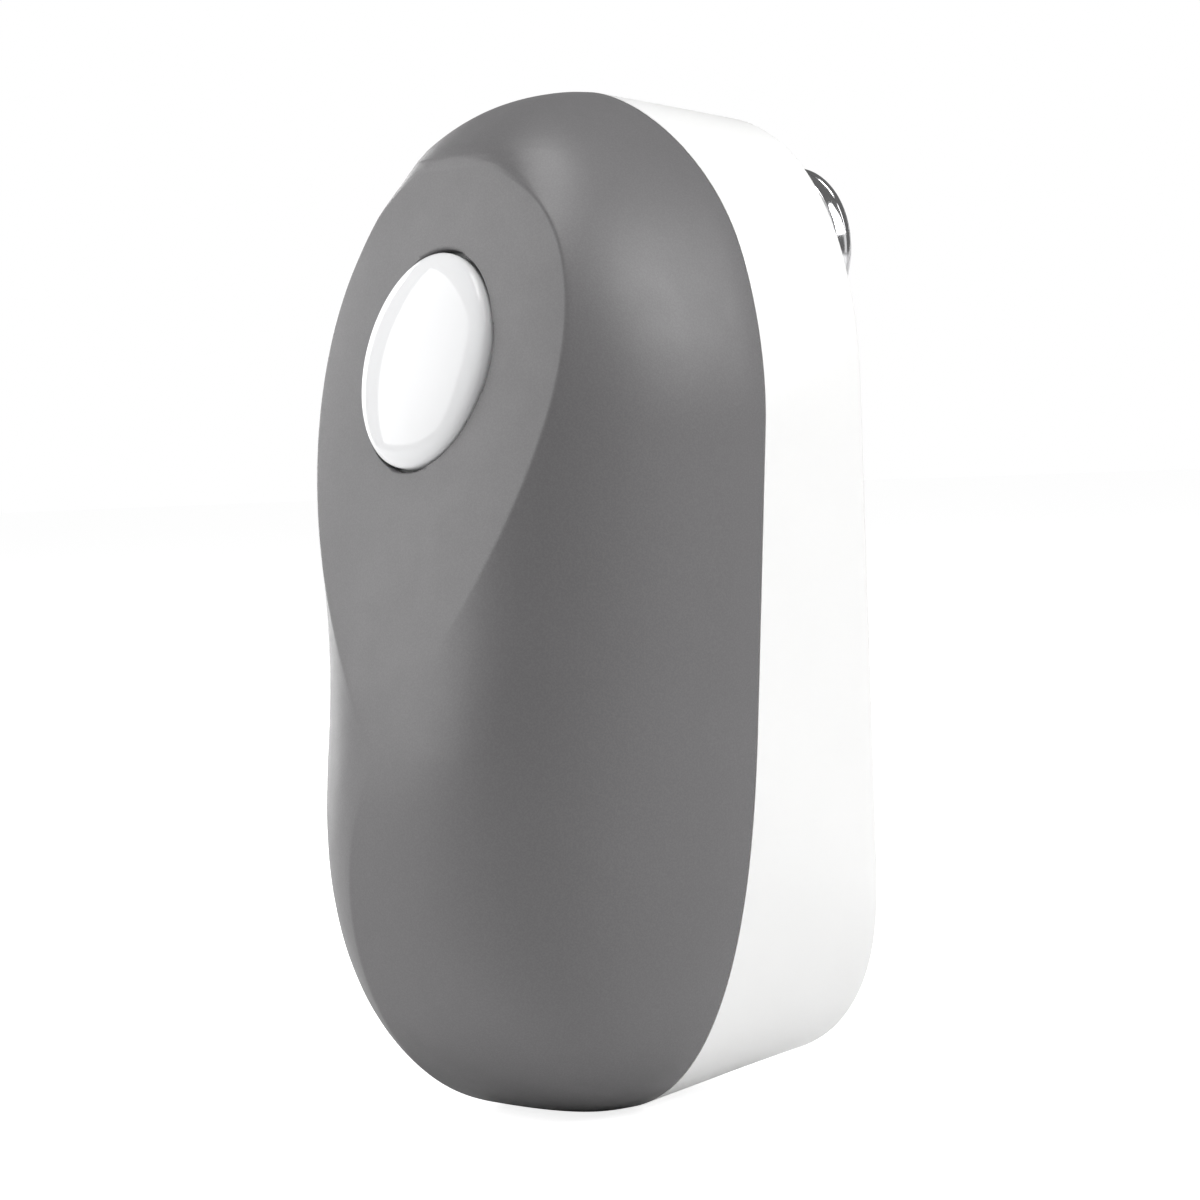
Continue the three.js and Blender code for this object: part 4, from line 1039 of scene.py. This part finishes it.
    def dress(self, material: Material) -> None:
        """Gives the base its finish and its place in the assembly."""
        fit_in(self.piece, material, "base_shell", "body", "white_plastic")


def rounded_plate(name: str, low: Sequence[float], high: Sequence[float], corner: float) -> Object:
    """A block whose edges along Y are rounded.

    Args:
        name: the object's name.
        low: its lowest corner.
        high: its highest corner.
        corner: radius of the rounding.

    Returns:
        The new object.
    """
    plate = Bench.block(name, low, high)
    with Bench.editing(plate, "EDGE"):
        bpy.ops.object.mode_set(mode="OBJECT")
        for edge in plate.data.edges:
            first, second = (plate.data.vertices[i].co for i in edge.vertices)
            edge.select = abs(first.y - second.y) > abs(high[1] - low[1]) * 0.5
        bpy.ops.object.mode_set(mode="EDIT")
        bpy.ops.mesh.bevel(offset=corner, segments=14, affect="EDGES")
    return plate


@dataclass
class BatteryDoor:
    """Door over the cells, with rounded edges and five grip grooves."""

    box: Sequence[Sequence[float]]
    corner: float = 6.7 * MM
    grooves: int = 5
    groove_pitch: float = 2.4 * MM
    groove_half_length: float = 11.0 * MM
    groove_half_width: float = 0.65 * MM
    groove_depth: float = 0.8 * MM
    first_groove: float = 6.7 * MM
    piece: Object | None = field(default=None, init=False)

    def build(self) -> Object:
        """Models the door."""
        low, high = self.box
        piece = rounded_plate("cell_door", low, high, self.corner)
        with Bench.editing(piece, "EDGE"):
            Bench.pick(piece, "EDGE", lambda place: place.y > high[1] - TINY)
            bpy.ops.mesh.bevel(offset=0.35 * MM, segments=3, affect="EDGES")
        for i in range(self.grooves):
            z = high[2] - self.first_groove - i * self.groove_pitch
            groove = Bench.block(
                "groove", (-self.groove_half_length, high[1] - self.groove_depth, z - self.groove_half_width),
                (self.groove_half_length, high[1] + MM, z + self.groove_half_width))
            with Bench.editing(groove, "EDGE"):
                Bench.pick(groove, "EDGE", lambda place: place.y < high[1])
                bpy.ops.mesh.bevel(offset=0.5 * MM, segments=4, affect="EDGES")
            Bench.combine(piece, groove, "DIFFERENCE")
        Bench.tidy(piece, 0.001 * MM)
        Bench.smooth(piece, 35)
        self.piece = piece
        return piece

    def dress(self, material: Material) -> None:
        """Gives the door its finish and its place in the assembly."""
        fit_in(self.piece, material, "battery_door", "battery_lid", "white_plastic")


# ---- Push button ----


@dataclass
class PushButton:
    """Glossy domed oval cap on a stem, guided by a skirt with a flange."""

    frame: Matrix
    half_width: float = 16.3 * MM
    half_length: float = 19.1 * MM
    dome: float = 3.4 * MM
    steps: int = 22
    stem: float = 2.6 * MM
    stem_end: float = 11.7 * MM
    skirt: float = 5.4 * MM
    piece: Object | None = field(default=None, init=False)

    def profile(self) -> list[Pair]:
        """Outline of the cap as (radius, depth) from the stem's end to the top of the dome."""
        wide = self.half_width
        points = [(self.stem, self.stem_end), (self.stem, 0.4 * MM), (wide - 1.8 * MM, 0.4 * MM),
                  (wide - 1.8 * MM, self.skirt), (wide + 1.4 * MM, self.skirt),
                  (wide + 1.4 * MM, self.skirt - 1.3 * MM), (wide, self.skirt - 1.3 * MM), (wide, 0.6 * MM)]
        for step in range(self.steps + 1):
            angle = step / self.steps * math.pi / 2
            points.append((wide * math.cos(angle) ** 0.8, -self.dome * math.sin(angle)))
        return points

    def build(self) -> Object:
        """Models the button."""
        piece = Bench.turned("button_cap", self.profile(), 0.0, 0.0, sides=120)
        piece.matrix_world = self.frame @ Matrix.Diagonal((1, 1, self.half_length / self.half_width, 1))
        Bench.settle(piece)
        Bench.smooth(piece, 40)
        self.piece = piece
        return piece

    def dress(self, material: Material) -> None:
        """Gives the button its finish and its place in the assembly."""
        fit_in(self.piece, material, "push_button", "button", "gloss_white")


# ---- Can-opening tools, magnet and screws ----


@dataclass(frozen=True)
class TurnedPart:
    """A small turned piece that stands for one node of the mechanical model."""

    name: str
    node: str
    body: str
    slot: str
    place: Pair
    profile: tuple[Pair, ...]
    sides: int = 96
    bore: float = 0.0
    cross: float = 0.0
    smooth: float = 30.0

    def build(self) -> Object:
        """Models the piece."""
        x, z = self.place
        piece = Bench.turned(self.name, self.profile, x, z, self.sides)
        start, end = self.profile[0][1], self.profile[-1][1]
        low, high = min(start, end), max(y for _, y in self.profile)
        if self.bore:
            bore = Bench.rod("bore", self.bore, low - MM, high + MM, x, z)
            Bench.combine(piece, bore, "DIFFERENCE")
        if self.cross:
            for wide, tall in ((self.cross, 0.34 * MM), (0.34 * MM, self.cross)):
                slot = Bench.block("slot", (x - wide, end - 0.9 * MM, z - tall),
                                   (x + wide, end + MM, z + tall))
                Bench.combine(piece, slot, "DIFFERENCE")
        Bench.smooth(piece, self.smooth)
        return piece

    def dress(self, piece: Object, material: Material) -> None:
        """Gives the piece its finish and its place in the assembly."""
        fit_in(piece, material, self.node, self.body, self.slot)


@dataclass
class FeedWheel:
    """Toothed wheel that carries the rim of the can round."""

    place: Pair
    start: float
    end: float
    radius: float = 6.5 * MM
    depth: float = 0.85 * MM
    teeth: int = 18
    bore: float = 2.7 * MM

    def build(self) -> Object:
        """Models the wheel."""
        x, z = self.place
        edge = 0.25 * MM
        piece = Bench.turned("feed_gear", [
            (self.radius - edge, self.start), (self.radius, self.start + edge),
            (self.radius, self.end - edge), (self.radius - edge, self.end)], x, z, self.teeth * 4)
        per_tooth = 2 * math.pi / self.teeth

        def in_gap(place: Vector) -> bool:
            turn = math.atan2(place.z - z, place.x - x) % per_tooth
            return abs(turn - per_tooth / 2) < per_tooth * 0.13

        with Bench.editing(piece, "VERT"):
            Bench.pick(piece, "VERT", in_gap)
            share = 1 - self.depth / self.radius
            bpy.ops.transform.resize(value=(share, 1, share), center_override=(x, 0, z))
        Bench.combine(piece, Bench.rod("bore", self.bore, self.start - MM, self.end + MM, x, z), "DIFFERENCE")
        Bench.smooth(piece, 25)
        return piece

    @staticmethod
    def dress(piece: Object, material: Material) -> None:
        """Gives the wheel its finish and its place in the assembly."""
        fit_in(piece, material, "feed_wheel", "drive", "steel")


@dataclass(frozen=True)
class CellRow:
    """Four cells side by side, each the other way up from its neighbour."""

    count: int = 4
    cap_radius: float = 2.75 * MM
    cap_height: float = 1.3 * MM

    def build(self) -> list[Object]:
        """Models one cell and copies it to each place."""
        low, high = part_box("cell_1")
        radius = (high.x - low.x) / 2
        length = high.z - low.z
        body = length - self.cap_height
        r = radius
        profile = [(r - 0.9 * MM, 0.0), (r - 0.3 * MM, 0.05 * MM), (r, 0.4 * MM), (r, body - 0.7 * MM),
                   (r - 0.25 * MM, body - 0.25 * MM), (r - 0.8 * MM, body), (r - 1.2 * MM, body - 0.15 * MM),
                   (self.cap_radius + 0.4 * MM, body - 0.15 * MM), (self.cap_radius, body),
                   (self.cap_radius, length - 0.3 * MM), (self.cap_radius - 0.3 * MM, length), (0.0, length)]
        first = Bench.turned("cell_body_1", profile, 0.0, 0.0, 56)
        cells = [first] + [Bench.duplicate(first, f"cell_body_{i + 1}") for i in range(1, self.count)]
        for i, cell in enumerate(cells):
            low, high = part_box(f"cell_{i + 1}")
            middle = ((low.x + high.x) / 2, (low.y + high.y) / 2)
            up = i % 2 == 0
            turn = Matrix.Rotation(math.pi / 2 if up else -math.pi / 2, 4, "X")
            cell.matrix_world = Matrix.Translation((*middle, low.z if up else high.z)) @ turn
            Bench.settle(cell)
            Bench.smooth(cell, 35)
        return cells


# ---- Studio ----


@dataclass(frozen=True)
class SoftLight:
    """A square lamp aimed at a point."""

    name: str
    place: tuple[float, float, float]
    target: tuple[float, float, float]
    width: float
    height: float
    power: float

    def build(self) -> None:
        """Adds the lamp."""
        lamp = bpy.data.lights.new(self.name, "AREA")
        lamp.shape = "RECTANGLE"
        lamp.size, lamp.size_y, lamp.energy = self.width, self.height, self.power
        holder = bpy.data.objects.new(self.name, lamp)
        bpy.context.scene.collection.objects.link(holder)
        holder.location = self.place
        aim = Vector(self.target) - Vector(self.place)
        holder.rotation_euler = aim.to_track_quat("-Z", "Y").to_euler()


@dataclass(frozen=True)
class Studio:
    """Pale floor, soft lamps and the camera."""

    azimuth: float = 49.4467
    elevation: float = 2.6545
    roll: float = -2.1107
    distance: float = 0.7
    focal_scale: float = 5.5814
    aside: float = 0.1888 * MM
    above: float = 0.6261 * MM
    target: tuple[float, float, float] = (0.0, 11.37 * MM, 90.0 * MM)
    sensor: float = 36.0
    frame_size: float = 1200.0

    def build(self) -> None:
        """Sets up the whole studio."""
        self.add_floor()
        self.add_world()
        self.add_lights()
        self.add_camera()
        bpy.context.scene.view_settings.view_transform = "Standard"

    def add_floor(self) -> None:
        """A pale floor just under the foot."""
        Bench.clear()
        bpy.ops.mesh.primitive_circle_add(vertices=96, radius=6.0, fill_type="NGON", location=(0, 0, 0))
        floor = bpy.context.object
        floor.name = "studio_floor"
        nodes = Nodes("floor_paper")
        place = nodes.coordinates()
        cloud = nodes.noise(place, 1.5, 2.0)
        nodes.feed(nodes.shader, "Base Color", nodes.mixed(cloud, (0.90, 0.90, 0.90), (0.93, 0.93, 0.93)))
        nodes.feed(nodes.shader, "Roughness", nodes.between(nodes.noise(place, 400.0), 0.85, 0.95))
        nodes.feed(nodes.shader, "Normal", nodes.bump(nodes.noise(place, 600.0), 0.02 * MM))
        nodes.shader.inputs["Specular IOR Level"].default_value = 0.1
        nodes.shader.inputs["Emission Color"].default_value = (1.0, 1.0, 1.0, 1.0)
        seen = nodes.add("ShaderNodeLightPath").outputs["Is Camera Ray"]
        nodes.feed(nodes.shader, "Emission Strength", nodes.between(seen, 0.0, 0.82, 0.0, 1.0))
        floor.data.materials.append(nodes.material)

    @staticmethod
    def add_world() -> None:
        """Even white surroundings."""
        world = bpy.data.worlds.new("studio_air")
        world.use_nodes = True
        tree = world.node_tree
        background = tree.nodes["Background"]
        background.inputs["Color"].default_value = (1.0, 1.0, 1.0, 1.0)
        path = tree.nodes.new("ShaderNodeLightPath")
        strength = tree.nodes.new("ShaderNodeMapRange")
        strength.inputs["To Min"].default_value = 0.18
        strength.inputs["To Max"].default_value = 1.0
        tree.links.new(path.outputs["Is Camera Ray"], strength.inputs["Value"])
        tree.links.new(strength.outputs["Result"], background.inputs["Strength"])
        bpy.context.scene.world = world

    @staticmethod
    def add_lights() -> None:
        """Soft lamps round the object."""
        middle = (0.0, 0.0, 0.1)

        def around(azimuth: float, height: float, reach: float) -> tuple[float, float, float]:
            turn, tilt = math.radians(azimuth), math.radians(height)
            flat = reach * math.cos(tilt)
            return flat * math.sin(turn), -flat * math.cos(turn), middle[2] + reach * math.sin(tilt)

        lights = (
            SoftLight("left_light", around(-100, 4, 1.3), middle, 0.7, 1.1, 9.0),
            SoftLight("front_light", around(-42, 20, 1.3), middle, 1.1, 0.9, 11.4),
            SoftLight("right_light", around(122, 34, 1.0), middle, 0.4, 0.6, 6.2),
            SoftLight("back_light", around(138, 6, 1.2), middle, 0.4, 0.4, 0.4),
            SoftLight("top_light", around(60, 78, 1.2), middle, 0.6, 0.6, 8.5),
        )
        for light in lights:
            light.build()

    def add_camera(self) -> None:
        """The camera, placed from its angles, its distance and its focal length."""
        turn, tilt, lean = (math.radians(a) for a in (self.azimuth, self.elevation, self.roll))
        back = Vector((math.sin(turn) * math.cos(tilt), -math.cos(turn) * math.cos(tilt), math.sin(tilt)))
        right = Vector((math.cos(turn), math.sin(turn), 0.0))
        up = back.cross(right)
        side = right * math.cos(lean) + up * math.sin(lean)
        top = up * math.cos(lean) - right * math.sin(lean)
        data = bpy.data.cameras.new("studio_camera")
        data.sensor_width = self.sensor
        data.lens = self.focal_scale / MM * self.distance / self.frame_size * self.sensor
        data.clip_start, data.clip_end = 0.01, 50.0
        camera = bpy.data.objects.new("studio_camera", data)
        bpy.context.scene.collection.objects.link(camera)
        turned = Matrix((side, top, back)).transposed().to_4x4()
        spot = Vector(self.target) + back * self.distance - side * self.aside - top * self.above
        camera.matrix_world = Matrix.Translation(spot) @ turned
        bpy.context.scene.camera = camera


# ---- The whole object ----


class Finishes:
    """Every finish of the object, made once."""

    def __init__(self) -> None:
        """Makes the materials."""
        self.cover = Plastic("cover_grey", (0.149, 0.146, 0.149), roughness=0.42, grain=0.02 * MM,
                             grain_size=0.3 * MM, drift=0.02, speckle=0.6, specular=0.38).make()
        self.white = Plastic("base_white", (0.84, 0.84, 0.835), roughness=0.33, grain=0.008 * MM,
                             drift=0.008).make()
        self.button = Plastic("button_gloss", (0.80, 0.803, 0.81), roughness=0.07, grain=0.001 * MM,
                              grain_size=2.0 * MM, drift=0.006, coat=0.1, specular=0.2).make()
        self.inner = Plastic("inner_white", (0.62, 0.61, 0.58), roughness=0.45).make()
        self.gear = Plastic("gear_ivory", (0.72, 0.68, 0.56), roughness=0.38, specular=0.45).make()
        self.black = Plastic("black_moulding", (0.018, 0.018, 0.019), roughness=0.4).make()
        self.board = Plastic("board_green", (0.02, 0.11, 0.05), roughness=0.28, grain_size=1.2 * MM).make()
        self.red = Plastic("red_insulation", (0.45, 0.015, 0.012), roughness=0.35).make()
        self.dark = Plastic("dark_insulation", (0.012, 0.012, 0.013), roughness=0.35).make()
        self.steel = Metal("plain_steel", (0.56, 0.56, 0.57), roughness=0.3).make()
        self.spring = Metal("spring_wire", (0.42, 0.42, 0.43), roughness=0.28, lay=Lay.DRAWN).make()
        self.motor = Metal("plated_can", (0.6, 0.6, 0.59), roughness=0.32, lay=Lay.DRAWN).make()
        self.brass = Metal("brass_turned", (0.62, 0.45, 0.18), roughness=0.28).make()
        self.magnet = Metal("plated_magnet", (0.58, 0.58, 0.6), roughness=0.2).make()

    @staticmethod
    def polished(name: str, centre: tuple[float, float, float]) -> Material:
        """Polished steel with fine rings round a centre."""
        return Metal(name, (0.66, 0.66, 0.67), roughness=0.13, lay=Lay.TURNED, centre=centre).make()


def wide_of(node: str) -> float:
    """Half the width of a node across X."""
    low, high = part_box(node)
    return (high.x - low.x) / 2


def centre_of(node: str) -> Pair:
    """The middle of a node, as its X and Z."""
    low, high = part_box(node)
    return (low.x + high.x) / 2, (low.z + high.z) / 2


def cap_profile(node: str) -> tuple[Pair, ...]:
    """Outline of a small domed cap, sized from its node."""
    low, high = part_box(node)
    wide, tall = (high.x - low.x) / 2, high.y - low.y
    edge = 0.3 * MM
    return ((wide - edge, low.y), (wide - 0.05 * MM, low.y + 0.15 * tall), (wide, low.y + 0.3 * tall),
            (wide - edge, low.y + 0.55 * tall), (wide * 0.78, low.y + 0.82 * tall),
            (wide * 0.5, low.y + 0.95 * tall), (wide * 0.2, high.y))


def disc_profile(node: str) -> tuple[Pair, ...]:
    """Outline of the cutter wheel: a sharp rim over a groove, a dished face and a raised hub."""
    y0, y1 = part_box(node)[0].y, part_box(node)[1].y
    rim = wide_of(node)
    hub = rim * 0.52
    points = ((rim - 1.9 * MM, y0), (rim - 1.2 * MM, y0 + 0.12 * MM), (rim - 0.6 * MM, y0 + 0.5 * MM),
              (rim - 0.45 * MM, y0 + 0.8 * MM))
    below_face = ((rim, 0.45, 1.35), (rim, 0.3, 1.15), (rim, 0.0, 0.95), (rim, 0.0, 0.7), (rim, 0.3, 0.42),
                  (rim, 0.9, 0.34), (rim, 2.4, 0.45), (rim, 3.2, 0.75), (hub, -1.2, 0.9), (hub, -0.6, 0.7),
                  (hub, -0.2, 0.15), (hub, 0.3, 0.0))
    return points + tuple((edge - inwards * MM, y1 - depth * MM) for edge, inwards, depth in below_face)


def build_shells(form: BodyForm, finishes: Finishes, screws: Sequence[Pair], shaft: Pair, cutter: Pair,
                 magnet: Pair) -> None:
    """Builds the cover, the battery door, the base and the push button.

    Args:
        form: the form of the body.
        finishes: the materials.
        screws: X and Z of the four screws.
        shaft: X and Z of the feed wheel.
        cutter: X and Z of the cutter wheel.
        magnet: X and Z of the magnet.
    """
    button_frame = form.button_frame()
    door_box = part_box("battery_door")
    cover = TopCover(form, button_frame)
    door = BatteryDoor(door_box)
    base = BaseShell(form, door_box, screws, shaft, cutter, magnet, wide_of("lid_magnet"))
    button = PushButton(button_frame)
    for part, material in ((cover, finishes.cover), (door, finishes.white), (base, finishes.white),
                           (button, finishes.button)):
        part.build()
        part.dress(material)
        log.info("%s ready", part.piece.name)


def build_tools(finishes: Finishes, shaft: Pair, cutter: Pair, magnet: Pair) -> None:
    """Builds the feed wheel, the cutter wheel, their caps and the magnet.

    Args:
        finishes: the materials.
        shaft: X and Z of the feed wheel.
        cutter: X and Z of the cutter wheel.
        magnet: X and Z of the magnet.
    """
    low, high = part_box("feed_wheel")
    feed = FeedWheel(shaft, low.y, high.y)
    feed.dress(feed.build(), finishes.steel)
    polished = finishes.polished("cutter_polish", (cutter[0], 0.0, cutter[1]))
    bright = finishes.polished("cap_polish", (shaft[0], 0.0, shaft[1]))
    low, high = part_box("lid_magnet")
    r = wide_of("lid_magnet")
    magnet_profile = ((r, low.y), (r, high.y - 0.5 * MM), (r - 0.15 * MM, high.y - 0.15 * MM),
                      (r - 0.5 * MM, high.y))
    steel = "polished_steel"
    for part, material in (
            (TurnedPart("cutter_disc", "cutter_wheel", "cutter", steel, cutter, disc_profile("cutter_wheel"),
                        sides=144, bore=2.9 * MM), polished),
            (TurnedPart("cutter_button", "cutter_cap", "cutter_carrier", steel, cutter,
                        cap_profile("cutter_cap"), sides=72), polished),
            (TurnedPart("feed_button", "feed_wheel_cap", "drive", steel, shaft,
                        cap_profile("feed_wheel_cap"), sides=72), bright),
            (TurnedPart("magnet_disc", "lid_magnet", "body", steel, magnet, magnet_profile, sides=72),
             finishes.magnet)):
        part.dress(part.build(), material)


def build_screws(screws: Sequence[Pair], material: Material) -> None:
    """Builds one case screw and copies it; only the length of the shank differs.

    Args:
        screws: X and Z of the four screws.
        material: their finish.
    """
    low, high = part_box("case_screw_1")
    head = wide_of("case_screw_1")
    shank, tip = 1.5 * MM, 1.2 * MM
    model = TurnedPart("cover_screw_1", "case_screw_1", "body", "steel", screws[0], (
        (0.5 * MM, low.y), (shank, low.y + tip), (shank, high.y - 1.8 * MM),
        (head, high.y - 1.8 * MM), (head, high.y - 0.8 * MM), (head - 0.3 * MM, high.y - 0.35 * MM),
        (head - MM, high.y - 0.05 * MM), (head - 1.6 * MM, high.y)), sides=40, cross=1.5 * MM)
    first = model.build()
    copies = [first] + [Bench.duplicate(first, f"cover_screw_{i}") for i in range(2, len(screws) + 1)]
    for i, (screw, (x, z)) in enumerate(zip(copies, screws), 1):
        if screw is not first:
            new_low, new_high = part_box(f"case_screw_{i}")
            shift = new_high.y - high.y
            with Bench.editing(screw, "VERT"):
                Bench.pick(screw, "VERT", lambda place: place.y < low.y + tip + TINY)
                bpy.ops.transform.translate(value=(0, new_low.y - low.y - shift, 0))
                bpy.ops.mesh.select_all(action="SELECT")
                bpy.ops.transform.translate(value=(x - screws[0][0], shift, z - screws[0][1]))
        fit_in(screw, material, f"case_screw_{i}", "body", "steel")
    log.info("tools and fixings ready")


def build_cells() -> None:
    """Builds the cells, each with a sleeve whose bands suit the way it stands."""
    blue, silver, metal = (0.015, 0.05, 0.16), (0.55, 0.56, 0.58), (0.6, 0.6, 0.6)
    for i, cell in enumerate(CellRow().build(), 1):
        low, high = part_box(f"cell_{i}")
        if i % 2 == 1:
            bands = (Band(low.z - MM, metal, 1.0), Band(low.z + 0.4 * MM, silver, 0.7),
                     Band(low.z + 14 * MM, blue, 0.3), Band(high.z - 2.5 * MM, silver, 0.7))
        else:
            bands = (Band(low.z - MM, silver, 0.7), Band(low.z + 1.3 * MM, silver, 0.7),
                     Band(low.z + 2.5 * MM, blue, 0.3), Band(high.z - 14 * MM, silver, 0.7))
        fit_in(cell, Sleeve(f"cell_sleeve_{i}", bands).make(), f"cell_{i}", "body", "cell_wrap")


def dress_inside(finishes: Finishes) -> None:
    """Gives the pieces that stay from the mechanical model their finishes."""
    looks = {
        finishes.spring: ["button_spring", "arm_spring"] + [f"contact_spring_{i}" for i in range(1, 5)],
        finishes.black: ["switch_body", "motor_end_cap"],
        finishes.inner: ["switch_plunger", "battery_tray", "gearbox_rear_plate", "gearbox_front_plate"],
        finishes.board: ["circuit_board"],
        finishes.gear: ["third_gear", "second_gear", "first_gear"],
        finishes.steel: ["third_axle", "second_axle", "first_axle", "output_gear", "drive_shaft",
                         "cutter_arm", "arm_pivot_pin", "cutter_axle", "lower_contact_1",
                         "lower_contact_2", "upper_contact_left", "upper_contact_1",
                         "upper_contact_right"]
        + [f"gearbox_{kind}_{i}" for kind in ("screw", "spacer") for i in range(1, 4)],
        finishes.brass: ["drive_shaft_bush", "motor_pinion"],
        finishes.motor: ["motor_can"],
        finishes.red: ["motor_lead_red", "battery_lead_red"],
        finishes.dark: ["motor_lead_black", "battery_lead_black"],
    }
    for material, nodes in looks.items():
        for node in nodes:
            piece = frame["nodes"][node]
            piece.data.materials.clear()
            piece.data.materials.append(material)
    log.info("all pieces dressed")


def main() -> None:
    """Builds the object and its studio."""
    logging.basicConfig(level=logging.INFO, format="%(relativeCreated)d %(name)s: %(message)s")
    Studio().build()
    finishes = Finishes()
    cover_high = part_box("top_cover")[1]
    form = BodyForm(cover_high.z, cover_high.x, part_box("battery_door")[1].y)
    screws = [centre_of(f"case_screw_{i}") for i in range(1, 5)]
    magnet, cutter, shaft = centre_of("lid_magnet"), centre_of("cutter_wheel"), centre_of("feed_wheel")
    build_shells(form, finishes, screws, shaft, cutter, magnet)
    build_tools(finishes, shaft, cutter, magnet)
    build_screws(screws, finishes.steel)
    build_cells()
    dress_inside(finishes)


if __name__ == "__main__":
    main()
